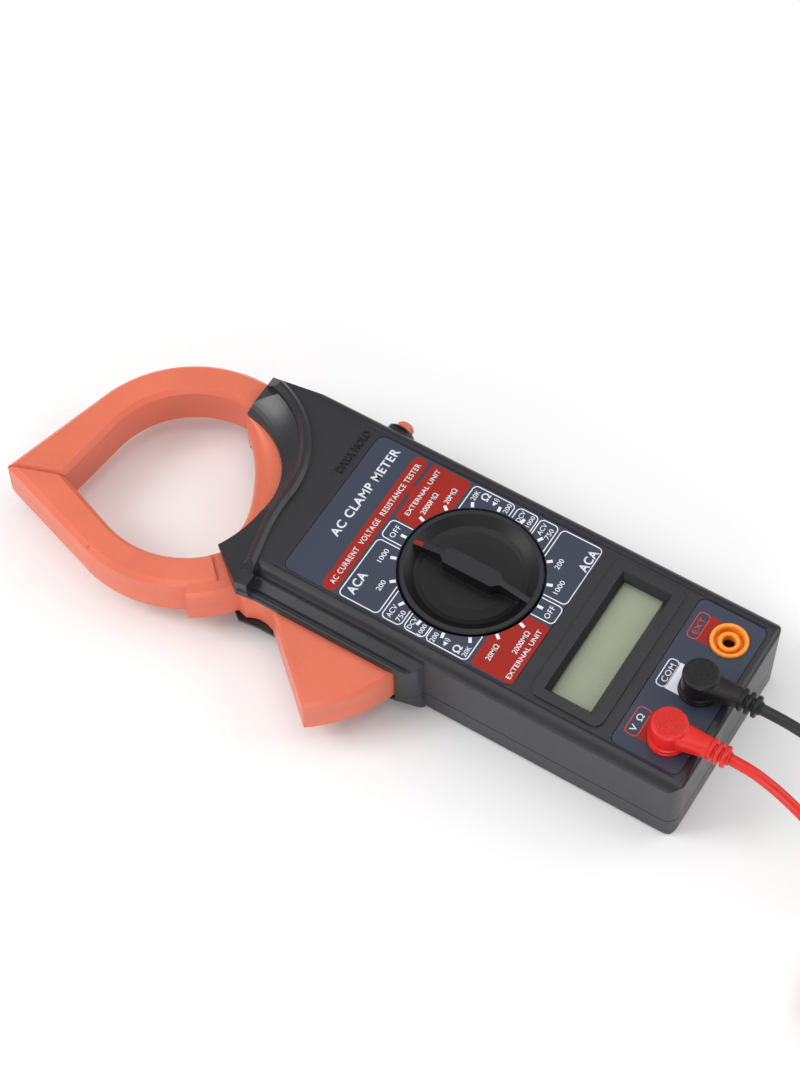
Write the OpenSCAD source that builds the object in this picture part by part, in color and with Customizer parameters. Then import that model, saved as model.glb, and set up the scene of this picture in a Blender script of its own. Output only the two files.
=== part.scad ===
// Clamp meter lying on its back. X to the meter's right, Y towards the jaws, Z up out of the dial.
// The origin is on the rest plane, straight under the centre of the dial.

/* [Body] */
// Width of the body below the trigger
body_w = 66; // [64:1:70]
// Length from the dial's centre to the cord end
body_tail = 88.5; // [88:0.5:94]
// Height of the printed face above the rest plane
face_z = 29; // [29:0.5:31]
// Height of the line where the two case halves meet
parting_z = 9; // [8:0.5:10]
// Thickness of the case walls
wall = 2.2; // [2:0.1:2.6]
// Height of the hand barrier above the printed face
barrier_h = 2.6; // [1.5:0.1:4]

/* [Jaws] */
// Inner radius of the jaw ring
ring_in = 30; // [29.5:0.5:30.5]
// Outer radius of the jaw ring
ring_out = 41; // [40.5:0.25:41]
// Thickness of the jaws, front to back
jaw_t = 16; // [15.5:0.5:16]
// Thickness of the hub and the trigger blade
blade_t = 14; // [12:0.5:14]
// Bevel along the jaws' edges
jaw_bevel = 1.6; // [0.8:0.1:2]
// How far the cradle swells into the jaw opening
cradle_swell = 8.8; // [6:0.2:9]
// Thickness of the laminated cores
core_t = 9; // [7:0.5:10]

/* [Trigger] */
// Radius of the trigger's curved lower edge about the pivot
trigger_r = 48.8; // [47:0.2:49]
// Radius of the hub
hub_r = 7.2; // [6:0.1:7.2]
// Diameter of the pivot pin
pivot_d = 4; // [3:0.5:4]

/* [Selector] */
// Diameter of the selector knob's rim
knob_d = 43.8; // [42:0.2:44]
// Width of the gap between the rim and the face
knob_gap = 0.6; // [0.4:0.1:0.7]
// Height of the rim above the printed face
rim_h = 0.6; // [0.2:0.1:1]
// Depth of the knob's dish below the printed face
dish_depth = 2.6; // [1.8:0.1:2.8]
// Height of the finger grip above the printed face
grip_h = 2.6; // [2:0.1:3.2]

/* [Display] */
// Width of the display opening
view_w = 44.2; // [40:0.2:45]
// Height of the display opening
view_h = 13.4; // [12:0.2:14]
// Centre of the display below the dial's centre
view_y = 47; // [46:0.5:48]

/* [Jacks] */
// Distance from one jack to the next
jack_pitch = 19; // [19:0.05:19.1]
// Distance from the dial's centre to the row of jacks
jack_y = 77; // [76:0.5:78]
// Bore of the jack sockets
jack_bore = 4.1; // [4.05:0.05:4.2]
// Diameter of the jack collars
collar_d = 11.8; // [10:0.2:12.4]

/* [Hold button] */
// Diameter of the hold button
hold_d = 5.8; // [5:0.2:6]
// How far the hold button moves
hold_travel = 1.5; // [1:0.1:1.5]

/* [Battery] */
// Length of the battery
battery_l = 48.5; // [48:0.1:49]
// Width of the battery
battery_w = 26.5; // [26:0.1:27]
// Thickness of the battery
battery_t = 17.5; // [17:0.1:17.5]

/* [Test leads] */
// Diameter of the test leads
lead_d = 3.5; // [3:0.1:4]
// Diameter of the plug heads
plug_d = 12.2; // [11:0.1:13]
// Length of the probe handles
handle_l = 80; // [70:1:90]

/* [Hidden] */

$fn = 96;
eps = 0.01;
black = [0.16, 0.16, 0.17];
orange = [0.90, 0.42, 0.30];
brass = [0.80, 0.65, 0.30];
steel = [0.70, 0.71, 0.73];

// Case
half_w = body_w / 2;
deck_z = face_z + 0.2;
deck_t = 2.6;
under_z = deck_z - deck_t;
mid_z = face_z / 2;
seam = 0.3;
jaw_top = mid_z + jaw_t / 2;
jaw_low = mid_z - jaw_t / 2;
roof_z = jaw_top + 0.1;
sill_z = jaw_low - 0.1;
slot_top = mid_z + blade_t / 2 + 0.5;
slot_low = mid_z - blade_t / 2 - 0.5;
ring_c = [-10.5, 95];
cradle_c = [-11.5, 93];
cradle_r = 27.5;
collar_y = 91;
shoulder_x = half_w - 1.3;
horn_a = 231;
barrier_c = [-5.3, 94.8];
barrier_in = 31.35;
barrier_out = 35.05;
head_r = 38.6;
screw_at = [[27.3, -82.5], [-27.3, -82.5], [-26.5, -8], [26.5, 34]];

// Jaws and trigger
pivot_at = [-23, 50];
tip_out = [-38.2, 144.6];
tip_in = [-31.9, 127.4];
tip_gap = 0.15;
moving_in = ring_in + 1;
moving_out = ring_out + 0.5;
fixed_turn = 75;
fixed_turn_in = 84;
moving_turn = 161.5;
step_a = 225.7;
core_in = ring_in + 2.2;
core_out = ring_out - 2.2;
core_low = mid_z - core_t / 2;
core_end_a = 251.5;
guard_a = 212.3;
guard_r = 45;
blade_low = mid_z - blade_t / 2;
blade_top = mid_z + blade_t / 2;
blade_root = [-39.2, 46];
blade_tip = [-61.3, 21.2];
blade_in_a = 257;

// Labels, display and board
label_t = 0.3;
label_z = face_z - label_t;
board_t = 1.6;
board_z = 22.4;
board_top = board_z + board_t;
frame_h = 0.8;
window_t = 1.2;
window_z = under_z - window_t;
rotor_z = board_top + 0.2;
knob_z = rotor_z + 1;
knob_r = knob_d / 2;
well_r = knob_r + knob_gap;

// Jacks, button and battery
socket_r = 3;
collar_top = face_z + 0.9;
shelf_z = collar_top - 3.4;
hold_at = [46.5, 22];
hold_x = half_w + 2.4;
battery_z = 2.8;
battery_y = -45;
hatch_w = 54;
hatch_l = 31;
hatch_y = battery_y;

// Test leads
plug_z = collar_top + 0.3;
plug_top = face_z + 9.7;
plug_neck_z = face_z + 7;
lead_r = lead_d / 2;
coil_mid = 19.5;
coil_turns = 3;
coil_in = coil_mid - lead_d * (coil_turns / 2 + 0.1) - lead_r;
coil_out = coil_mid + lead_d * (coil_turns / 2 + 0.25) + lead_r;
red_coil_at = [-44, -170];
black_coil_at = [25, -156];
probe_z = 5.5;
red_probe_at = [-50, -219];
black_probe_at = [46, -206];
red_route = [[-19, -96.8, 36], [-19, -104, 35.4], [-19.3, -112, 32.8], [-19.6, -120, 28.2],
    [-19.6, -129, 21], [-19.6, -137, 13.8], [-19.6, -145, 7.3], [-19.6, -153, 3.2], [-19.5, -161, 1.9],
    [-19.5, -170, 1.8]];
red_tail = [[-44, -195.4, 5.2], [-52, -195.6, 4.6], [-60, -197.6, 3], [-66, -202, 1.9],
    [-68, -208, 1.8], [-66.6, -213.6, 2], [-62, -217.6, 3], [-56, -219, 4.6], [-50, -219, 5.5]];
black_route = [[0, -96.8, 36], [0, -105, 35.8], [0, -113, 34.2], [0.2, -121, 30.2], [0.4, -129, 23.2],
    [0.4, -136, 15.6], [0.4, -143, 8], [0.5, -149.6, 2.8], [0.5, -156, 1.8]];
black_tail = [[25, -181.4, 5.2], [33, -181.6, 4.6], [41, -182.4, 3], [49, -184, 1.9],
    [56, -187.6, 1.8], [60, -193, 1.8], [60, -199, 2], [56.6, -204, 3.4], [51, -206, 5],
    [46, -206, 5.5]];

// Points, arcs and plain shapes
function polar(c, r, a) = [c.x + r * cos(a), c.y + r * sin(a)];
function arc(c, r, a0, a1, n = 12) = [for (i = [0:n]) polar(c, r, a0 + (a1 - a0) * i / n)];
function reach(c, r, a) = let (d = c - ring_c, u = [cos(a), sin(a)])
    d * u + sqrt(r * r - d * d + pow(d * u, 2));

module slab(z0, z1) {
    translate([0, 0, z0]) linear_extrude(z1 - z0) children();
}

module rod(x, y, z0, z1, r) {
    translate([x, y, z0]) cylinder(r = r, h = z1 - z0);
}

module block(lo, hi) {
    translate(lo) cube(hi - lo);
}

module ring_part(c, r0, r1, a0, a1, z0, z1) {
    translate([c.x, c.y, 0]) rotate([0, 0, a0]) rotate_extrude(angle = a1 - a0)
        polygon([[r0, z0], [r1, z0], [r1, z1], [r0, z1]]);
}

module bevelled_ring(c, r0, r1, a0, a1, z0, z1, b) {
    translate([c.x, c.y, 0]) rotate([0, 0, a0]) rotate_extrude(angle = a1 - a0)
        polygon([[r0 + b, z0], [r1 - b, z0], [r1, z0 + b], [r1, z1 - b],
            [r1 - b, z1], [r0 + b, z1], [r0, z1 - b], [r0, z0 + b]]);
}

// Bevels the top and bottom edges on the line from p to q, with the solid on its left
module edge_bevel(p, q, z0, z1, b) {
    run = norm(q - p);
    turn = atan2(q.y - p.y, q.x - p.x);
    translate([p.x, p.y, 0]) rotate([0, 0, turn]) rotate([90, 0, 90]) {
        translate([0, z1, -2]) linear_extrude(run + 4)
            polygon([[-1, -b - 1], [b + 1, 1], [-1, 1]]);
        translate([0, z0, -2]) linear_extrude(run + 4)
            polygon([[-1, b + 1], [b + 1, -1], [-1, -1]]);
    }
}

// Rounds the upper edge on the line from p to q, with the solid on its left
module edge_round(p, q, z, r) {
    turn = atan2(q.y - p.y, q.x - p.x);
    translate([p.x, p.y, 0]) rotate([0, 0, turn]) rotate([90, 0, 90]) linear_extrude(norm(q - p))
        difference() {
            translate([-2, z - r]) square([r + 2, r + 2]);
            translate([r, z - r]) circle(r);
        }
}

// Fine line pressed into the face beside the rounded edge
module edge_groove(x, y0, y1) {
    translate([x, y1, deck_z]) rotate([90, 0, 0]) linear_extrude(y1 - y0)
        polygon([[-0.5, 0.2], [-0.38, 0], [0, -0.35], [0.38, 0], [0.5, 0.2]]);
}

// Slopes the near side down to the lip over the trigger, with a groove along the lip
module trigger_flank() {
    flank(54.6, [[-20, 40], [0.1, 40], [0.1, deck_z - 3.2], [-3.3, deck_z - 5.1], [-3.9, deck_z - 5.9],
        [-4.5, deck_z - 5.9], [-4.9, deck_z - 5.2], [-5.6, deck_z - 5.3], [-6.3, deck_z - 6.1],
        [-20, deck_z - 6.1]]);
}

// The same on the rear, without the groove
module rear_flank() {
    flank(66, [[-20, -5], [-0.4, -5], [-0.4, -0.2], [-4.3, 5.2], [-5.2, 5.9], [-20, 5.9]]);
}

module flank(y1, outline) {
    translate([-half_w, y1, 0]) rotate([90, 0, 0]) linear_extrude(y1 + 6) polygon(outline);
}

module rounded_plate(w, h, r) {
    union() {
        square([w - 2 * r, h], center = true);
        square([w, h - 2 * r], center = true);
        for (x = [-1, 1], y = [-1, 1])
            translate([x * (w / 2 - r), y * (h / 2 - r)]) circle(r);
    }
}

// Case outlines
module corner_cut(x, y, r) {
    sx = sign(x);
    translate([x - sx * r, y + r]) difference() {
        translate([sx > 0 ? 0 : -r - 1, -r - 1]) square([r + 1, r + 1]);
        circle(r);
    }
}

module case_outline(d = 0) {
    w = half_w - d;
    y0 = d - body_tail;
    difference() {
        polygon([[-w, y0], [w, y0], [w, 52], [w - 0.8, 70], [shoulder_x - d, 83],
            [shoulder_x - d, collar_y - d], [cradle_c.x, collar_y - d],
            polar(ring_c, ring_in + d, horn_a), polar(ring_c, 47 - d, horn_a + d / 2),
            [-w - 6.2, 52], [-w - 6, 6], [-w - 5.5, 2.4], [-w - 4.3, -0.6], [-w - 2.4, -2.7], [-w, -3.8]]);
        translate(cradle_c) circle(cradle_r + d);
        corner_cut(-w, y0, 4);
        corner_cut(w, y0, 4);
    }
}

module inner_outline() {
    translate([-half_w + wall, -body_tail + wall])
        square([body_w - 2 * wall, body_tail + 68]);
}

module deck_outline() {
    difference() {
        inner_outline();
        translate(cradle_c) circle(head_r);
    }
}

// The room that the trigger and the thin end of the moving jaw turn in
module jaw_room(z0, z1) {
    slab(z0, z1) polygon([[-half_w + wall, 0], [half_w - wall, 0], [half_w - wall, 74],
        [ring_c.x, 96], [-50, 96], [-50, 66], [-half_w + wall, 50]]);
    intersection() {
        rod(pivot_at.x, pivot_at.y, z0, z1, trigger_r + 0.6);
        block([-70, -10, z0 - 1], [-half_w + wall + 1, 80, z1 + 1]);
    }
}

// The room in the head for the fixed jaw, its core and the cradle lining
module head_room(z0, z1) {
    slab(z0, z1) intersection() {
        union() {
            translate(cradle_c) circle(head_r);
            translate(ring_c) circle(ring_out + 0.3);
        }
        polygon([[-34, 62], polar(ring_c, 37, -120), [0, 52], [half_w - wall, 62],
            [half_w - wall, 92], [-45, 92]]);
    }
}

// Slopes the far upper corner of the head down, inwards and forwards
module far_slope() {
    translate([28.4, 91, deck_z]) rotate([0, 57, 9]) translate([-20, -50, 0]) cube([40, 80, 12]);
    translate([15, 85.5, face_z + barrier_h + 0.1]) rotate([-40, 0, 0]) cube([25, 20, 12]);
}

// Scoops the slope from the hand barrier down to the edge of the cradle; up is 1 or -1
module head_scoop(edge_z, top_z, up) {
    steps = 8;
    foot = 21;
    slope = [for (i = [0:steps])
        [foot + (barrier_in + 0.3 - foot) * i / steps,
            edge_z + (top_z - edge_z) * pow(i / steps, 1.6)]];
    translate([barrier_c.x, barrier_c.y, 0]) rotate([0, 0, -125]) rotate_extrude(angle = 133)
        polygon(concat([[foot - 5, top_z + up * 6], [foot - 5, edge_z]], slope,
            [[barrier_in + 0.3, top_z + up * 6]]));
    horn = polar(ring_c, ring_in, horn_a);
    rise = atan2(top_z - edge_z, 11);
    translate([horn.x, horn.y, edge_z]) rotate([0, 0, 193]) rotate([rise, 0, 0])
        translate([-16, -9, up > 0 ? 0 : -20]) cube([50, 33, 20]);
    fall = atan2(edge_z + up * 0.5 - top_z, 8);
    translate([19, 84.2, top_z + up * 0.1]) rotate([fall, 0, 0])
        translate([0, 0, up > 0 ? 0 : -20]) cube([18, 14, 20]);
}

// Ridge that stops the hand: round the cradle, easing out, then straight to the horn.
// Each stretch is a hair smaller than the one it runs into.
module hand_barrier(z0, z1) {
    mid = (barrier_in + barrier_out) / 2;
    side = (barrier_out - barrier_in) / 2;
    hair = 0.05;
    ease_r = 60;
    ease_c = barrier_c + (mid + ease_r) * [cos(-92), sin(-92)];
    start = polar(ease_c, ease_r, 102);
    bevelled_ring(barrier_c, barrier_in, barrier_out, -92, -9, z0, z1, 1.2);
    bevelled_ring(ease_c, ease_r - side + hair, ease_r + side - hair, 87.2, 103, z0 + hair, z1 - hair, 1.2);
    w = side - 2 * hair;
    top = z1 - 2 * hair;
    run = 19.6;
    translate([start.x, start.y, 0]) rotate([0, 0, 193]) difference() {
        rotate([90, 0, 90]) linear_extrude(run)
            polygon([[-w, z0 - 2], [w, z0 - 2], [w, top - 1.2], [w - 1.2, top], [1.2 - w, top],
                [-w, top - 1.2]]);
        translate([run - 8.4, -5, z1]) rotate([0, 38, 0]) cube([20, 10, 10]);
    }
}

// Case halves
module front_cover() {
    color(black) difference() {
        union() {
            difference() {
                slab(parting_z, deck_z) case_outline();
                head_scoop(roof_z + 1.4, deck_z, 1);
                edge_round([-half_w, 57], [-half_w, -body_tail - 1], deck_z, 3.6);
                trigger_flank();
            }
            hand_barrier(25.2, face_z + barrier_h);
            slab(deck_z - eps, face_z + frame_h + 0.2) translate([0, -view_y])
                rounded_plate(54, 24, 3);
            translate([half_w - 1, hold_at.x, hold_at.y]) rotate([0, 90, 0])
                cylinder(r = 4.8, h = hold_x - half_w + 1);
            rod(pivot_at.x, pivot_at.y, slot_top, under_z + 1, 4.4);
        }
        difference() {
            slab(parting_z - 1, under_z) deck_outline();
            rod(pivot_at.x, pivot_at.y, slot_top, under_z + 1, 4.4);
            for (p = screw_at) rod(p.x, p.y, parting_z - 2, under_z + 1, 3);
            for (x = [-1, 1], y = [38, -27]) rod(18 * x, y, board_top, under_z + 1, 2.4);
        }
        difference() {
            jaw_room(parting_z - 1, slot_top);
            for (p = screw_at) rod(p.x, p.y, parting_z - 2, slot_top + 1, 3);
        }
        head_room(parting_z - 1, roof_z);
        edge_round([half_w, -body_tail - 1], [half_w, 90], deck_z, 3.6);
        edge_round([-half_w - 1, -body_tail], [half_w + 1, -body_tail], deck_z, 1.7);
        for (s = [-1, 1]) edge_groove(s * (half_w - 4.15), 4 - body_tail, 52);
        far_slope();
        rod(pivot_at.x, pivot_at.y, slot_top - 1, under_z + 1, pivot_d / 2 + 0.02);
        for (p = screw_at) rod(p.x, p.y, parting_z - 2, 22, 1.25);
        for (x = [-1, 1], y = [38, -27]) rod(18 * x, y, board_top - 1, under_z + 1, 0.9);
        rod(0, 0, under_z - 1, deck_z + 1, well_r);
        slab(label_z, deck_z + 1) translate([0, 9.65]) rounded_plate(56.4, 79.7, 3);
        slab(label_z, deck_z + 1) translate([0, -74.2]) rounded_plate(56.8, 22.8, 2.4);
        slab(under_z - 1, deck_z + 3) translate([0, -view_y]) square([view_w, view_h], center = true);
        display_bevels();
        for (i = [-1:1]) rod(i * jack_pitch, -jack_y, under_z - 1, deck_z + 1, collar_d / 2 + 0.02);
        translate([half_w - wall - 1, hold_at.x, hold_at.y]) rotate([0, 90, 0])
            cylinder(r = hold_d / 2 + 0.1, h = 10);
        slab(deck_z - 0.3, deck_z + 1) translate([18.2, 53.2]) rounded_plate(20.6, 3.6, 0.8);
    }
}

// Sloping sides of the display opening
module display_bevels() {
    translate([0, -view_y, 0]) intersection() {
        rotate([90, 0, 90]) bevel_bar(view_h / 2);
        rotate([90, 0, 0]) bevel_bar(view_w / 2);
    }
}

module bevel_bar(half) {
    z0 = under_z + 0.6;
    z1 = face_z + frame_h + 1.2;
    lip = 2.5;
    translate([0, 0, -40]) linear_extrude(80)
        polygon([[0.2 - half, z0], [half - 0.2, z0], [half - 0.2 + lip, z1], [0.2 - half - lip, z1]]);
}

module rear_cover() {
    color(black) difference() {
        union() {
            slab(0, parting_z - seam) case_outline();
            slab(parting_z - seam - eps, parting_z) case_outline(seam);
        }
        rear_flank();
        edge_bevel([half_w, -body_tail - 1], [half_w, 56], 0, 60, 1.4);
        edge_bevel([-half_w, -6], [-half_w, -body_tail - 1], 0, 60, 1.4);
        edge_bevel([-half_w - 1, -body_tail], [half_w + 1, -body_tail], 0, 60, 1.2);
        difference() {
            slab(wall, parting_z + 1) deck_outline();
            rod(pivot_at.x, pivot_at.y, 0, slot_low, 3.2);
            for (p = screw_at) rod(p.x, p.y, 0, parting_z + 1, 3.4);
        }
        difference() {
            jaw_room(slot_low, parting_z + 1);
            for (p = screw_at) rod(p.x, p.y, 0, parting_z + 2, 3.4);
        }
        head_room(sill_z, parting_z + 1);
        head_scoop(sill_z - 1.4, 0, -1);
        rod(pivot_at.x, pivot_at.y, wall, slot_low + 1, pivot_d / 2 + 0.02);
        for (p = screw_at) {
            rod(p.x, p.y, -1, 4.5, 2.7);
            rod(p.x, p.y, -1, parting_z + 1, 1.5);
        }
        slab(-1, wall + 1) translate([0, hatch_y]) rounded_plate(hatch_w - 3, hatch_l - 3, 2);
        slab(-1, 1.2) translate([0, hatch_y]) rounded_plate(hatch_w + 0.4, hatch_l + 0.4, 2);
        slab(-1, 0.3) translate([2, 22]) rounded_plate(40.4, 26.4, 2);
    }
}

module battery_cover() {
    color(black) difference() {
        union() {
            slab(0.1, 1.15) translate([0, hatch_y]) rounded_plate(hatch_w, hatch_l, 2);
            slab(1.15 - eps, wall + 0.3) translate([0, hatch_y])
                rounded_plate(hatch_w - 3.4, hatch_l - 3.4, 2);
        }
        rod(0, hatch_y - hatch_l / 2 + 3.4, -1, 4, 1.3);
        rod(0, hatch_y - hatch_l / 2 + 3.4, -1, 1.1, 2.4);
    }
}

module screw(x, y, z0, z_head, z1, r_head, r) {
    rod(x, y, z_head - eps, z1, r);
    difference() {
        rod(x, y, z0, z_head, r_head);
        for (a = [0, 90]) translate([x, y, z0 - eps]) rotate([0, 0, a])
            translate([-r_head * 0.7, -0.3, 0]) cube([r_head * 1.4, 0.6, (z_head - z0) * 0.6]);
    }
}

module battery_screw() {
    color(steel) screw(0, hatch_y - hatch_l / 2 + 3.4, 0.3, 1.1, wall + 0.3, 2.2, 1.25);
}

module case_screws() {
    color(steel) for (p = screw_at) screw(p.x, p.y, 2.6, 4.5, 21, 2.6, 1.2);
}

// Labels
module main_label() {
    color([0.24, 0.27, 0.36]) difference() {
        slab(label_z, face_z) translate([0, 9.65]) rounded_plate(56, 79.3, 2.8);
        rod(0, 0, label_z - 1, face_z + 1, well_r + 0.15);
    }
}

module jack_label() {
    color([0.24, 0.27, 0.36]) difference() {
        slab(label_z, face_z) translate([0, -74.2]) rounded_plate(56.4, 22.4, 2.2);
        for (i = [-1:1]) rod(i * jack_pitch, -jack_y, label_z - 1, face_z + 1, collar_d / 2 + 0.1);
    }
}

module rear_label() {
    color([0.62, 0.64, 0.66]) slab(0.08, 0.3) translate([2, 22]) rounded_plate(40, 26, 2);
}

// Display and board
module display_window() {
    color([0.75, 0.80, 0.75, 0.5]) slab(window_z, under_z) translate([0, -view_y])
        rounded_plate(50, 18, 1);
}

module display_panel() {
    color([0.62, 0.65, 0.53]) slab(board_top, window_z) translate([0, -view_y])
        rounded_plate(49, 17.4, 0.6);
}

module circuit_board() {
    color([0.10, 0.36, 0.20]) difference() {
        union() {
            block([-23, -84, board_z], [23, 43.5, board_top]);
            block([-28, -62, board_z], [28, -30, board_top]);
            block([10, 43, board_z], [26, 51, board_top]);
        }
        for (i = [-1:1]) rod(i * jack_pitch, -jack_y, board_z - 1, board_top + 1, socket_r + 0.05);
        for (x = [-1, 1], y = [38, -27]) rod(18 * x, y, board_z - 1, board_top + 1, 1.1);
    }
}

module board_screws() {
    color(steel) for (x = [-1, 1], y = [38, -27])
        translate([18 * x, y, 0]) screw(0, 0, board_z - 0.5, board_z, under_z - 0.3, 2, 0.85);
}

module chip() {
    color([0.08, 0.08, 0.09]) {
        rod(0, -20, board_z - 1.6, board_z, 8);
        block([6, 22, board_z - 2.6], [16, 28, board_z]);
    }
}

module fuse() {
    color([0.86, 0.88, 0.86]) translate([-10, -67, board_z - 3.2]) rotate([0, 90, 0]) {
        cylinder(r = 2.4, h = 20);
        for (x = [0, 15.2]) translate([0, 0, x]) cylinder(r = 2.6, h = 4.8);
    }
}

module buzzer() {
    color([0.12, 0.12, 0.12]) difference() {
        rod(12, 8, board_z - 6, board_z, 7);
        rod(12, 8, board_z - 7, board_z - 4.8, 1.2);
    }
}

module hold_switch() {
    color([0.10, 0.10, 0.11]) block([19.6, hold_at.x - 3, hold_at.y - 3], [25.4, hold_at.x + 3, board_z]);
    color(steel) translate([25.4 - eps, hold_at.x, hold_at.y - 1]) rotate([0, 90, 0])
        cylinder(r = 1, h = 0.5);
}

// Battery
module battery() {
    color([0.20, 0.22, 0.26]) union() {
        block([-battery_l / 2, battery_y - battery_w / 2, battery_z],
            [battery_l / 2 - 2.6, battery_y + battery_w / 2, battery_z + battery_t]);
        for (s = [-1, 1]) translate([battery_l / 2 - 2.7, battery_y + s * 6.35, battery_z + battery_t / 2])
            rotate([0, 90, 0]) cylinder(r = s > 0 ? 2.9 : 3.9, h = 2.7);
    }
}

module battery_snap() {
    x0 = battery_l / 2 + 0.1;
    color([0.07, 0.07, 0.07])
        block([x0, battery_y - 11.5, battery_z + 2], [x0 + 2.6, battery_y + 11.5, battery_z + battery_t - 2]);
}

// Jaws
module half_space(front) {
    block([-90, -20, front ? mid_z : mid_z - 40], [60, 170, front ? mid_z + 40 : mid_z]);
}

// The wedge on the fixed side of the line where the jaw tips meet
module fixed_side(gap) {
    across = [cos(20.1), sin(20.1)] * gap;
    along = [cos(-69.9), sin(-69.9)] * 60;
    slab(-5, 45) polygon([tip_out + across - along / 6, tip_out + across + along,
        [60, 60], [60, 180]]);
}

module moving_side(gap) {
    across = [cos(20.1), sin(20.1)] * gap;
    along = [cos(-69.9), sin(-69.9)] * 60;
    slab(-5, 45) polygon([tip_out - across - along / 6, [-90, 160], [-90, 20], [0, 20],
        tip_out - across + along]);
}

module fixed_jaw() {
    p_out = polar(ring_c, ring_out - 0.27, fixed_turn);
    p_in = polar(ring_c, ring_in + 0.02, fixed_turn_in);
    edge = [cos(20.1), sin(20.1)] * tip_gap;
    bevelled_ring(ring_c, ring_in, ring_out - 0.25, -16, fixed_turn_in, jaw_low, jaw_top, jaw_bevel);
    intersection() {
        difference() {
            slab(jaw_low, jaw_top) polygon([p_out, tip_out + [-0.2, 0.1], tip_in, p_in,
                polar(ring_c, ring_in + 5, fixed_turn_in - 2), polar(ring_c, ring_out - 5, fixed_turn + 1)]);
            edge_bevel(p_out, tip_out, jaw_low, jaw_top, jaw_bevel);
            edge_bevel(tip_in, p_in, jaw_low, jaw_top, jaw_bevel);
            edge_bevel(tip_out + edge, tip_in + edge, jaw_low, jaw_top, 1.2);
        }
        fixed_side(tip_gap);
    }
}

module fixed_half(front) {
    color(orange) difference() {
        intersection() {
            fixed_jaw();
            half_space(front);
        }
        fixed_core_shape(0.15);
    }
}

module fixed_jaw_front() {
    fixed_half(true);
}

module fixed_jaw_rear() {
    fixed_half(false);
}

module fixed_core_shape(gap) {
    bar = [polar(ring_c, core_in - gap + 0.7, 76), tip_in + [-0.6, 3.4 - gap], tip_out + [2.2, -6 + gap],
        polar(ring_c, core_out + gap - 0.7, 76)];
    ring_part(ring_c, core_in - gap, core_out + gap, core_end_a - 358.6, 78,
        core_low - gap, core_low + core_t + gap);
    intersection() {
        slab(core_low - gap + 0.2, core_low + core_t + gap - 0.2) polygon(bar);
        fixed_side(tip_gap - gap);
    }
}

module fixed_core() {
    color([0.42, 0.42, 0.44]) fixed_core_shape(0);
}

module pickup_coil() {
    color([0.72, 0.38, 0.16]) difference() {
        union() {
            ring_part(ring_c, ring_in + 1.4, ring_out - 1.2, -88, -46, mid_z - 6, mid_z + 6);
            for (a = [-90.4, -46]) ring_part(ring_c, ring_in + 1, ring_out - 0.6, a, a + 2.4,
                mid_z - 7, mid_z + 7);
        }
        ring_part(ring_c, core_in - 0.05, core_out + 0.05, -95, -40, core_low - 0.05,
            core_low + core_t + 0.05);
    }
}

// Swelling orange lining of the cradle, between the two case halves
module cradle_liner() {
    a0 = -8;
    a1 = horn_a - 360 + 1;
    count = 20;
    sides = 8;
    section = function (i) let (
            t = i / count,
            a = a0 + (a1 - a0) * t,
            edge = reach(cradle_c, cradle_r, a),
            back = max(edge + 1.2, ring_in - 0.1),
            swell = 0.4 + cradle_swell * pow(max(0, sin(180 * t)), 0.8))
        concat([for (k = [0:sides]) let (v = -90 + 180 * k / sides, r = edge - swell * cos(v))
            [ring_c.x + r * cos(a), ring_c.y + r * sin(a), mid_z + jaw_t / 2 * sin(v)]],
            [for (z = [jaw_top, jaw_low])
                [ring_c.x + back * cos(a), ring_c.y + back * sin(a), z]]);
    size = sides + 3;
    points = [for (i = [0:count]) each section(i)];
    sheets = [for (i = [0:count - 1], k = [0:size - 1]) let (
            n = (k + 1) % size, a = i * size + k, b = a + size, c = (i + 1) * size + n)
        each [[a, b, c], [a, c, i * size + n]]];
    ends = [[for (k = [0:size - 1]) k], [for (k = [size - 1:-1:0]) count * size + k]];
    color(orange) polyhedron(points, concat(sheets, ends), 4);
}

module moving_jaw() {
    arc_out = polar(ring_c, moving_out - 0.05, moving_turn);
    arc_in = polar(ring_c, moving_in + 0.05, moving_turn);
    edge = [cos(20.1), sin(20.1)] * tip_gap;
    down = (arc_out - tip_out) / norm(arc_out - tip_out);
    across = (tip_in - tip_out) / norm(tip_in - tip_out);
    difference() {
        union() {
            bevelled_ring(ring_c, moving_in, moving_out, moving_turn, step_a, jaw_low, jaw_top, jaw_bevel);
            intersection() {
                difference() {
                    slab(jaw_low, jaw_top) polygon([arc_out,
                        polar(ring_c, moving_out - 0.5, moving_turn + 3),
                        polar(ring_c, moving_in + 0.4, moving_turn + 3), arc_in, tip_in,
                        tip_out + across * 0.8, tip_out + across * 0.2 + down * 0.4, tip_out + down * 1.7]);
                    edge_bevel(tip_out, arc_out, jaw_low, jaw_top, jaw_bevel);
                    edge_bevel(arc_in, tip_in, jaw_low, jaw_top, jaw_bevel);
                    edge_bevel(tip_in - edge, tip_out - edge, jaw_low, jaw_top, 0.6);
                }
                moving_side(tip_gap);
            }
            ring_part(ring_c, moving_in + 0.2, moving_out - 1, step_a - 1, core_end_a, blade_low, blade_top);
            bevelled_ring(ring_c, moving_out - 3, guard_r, guard_a, 233, blade_low, blade_top, 1.2);
            blade();
        }
        blade_hollow();
        rod(pivot_at.x, pivot_at.y, blade_low - 1, blade_top + 1, hub_r - 2);
    }
    translate([pivot_at.x, pivot_at.y, 0]) rotate_extrude()
        polygon([[pivot_d / 2 + 0.05, blade_low - 0.2], [hub_r, blade_low - 0.2],
            [hub_r, blade_top + 0.2], [pivot_d / 2 + 0.05, blade_top + 0.2]]);
}

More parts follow.
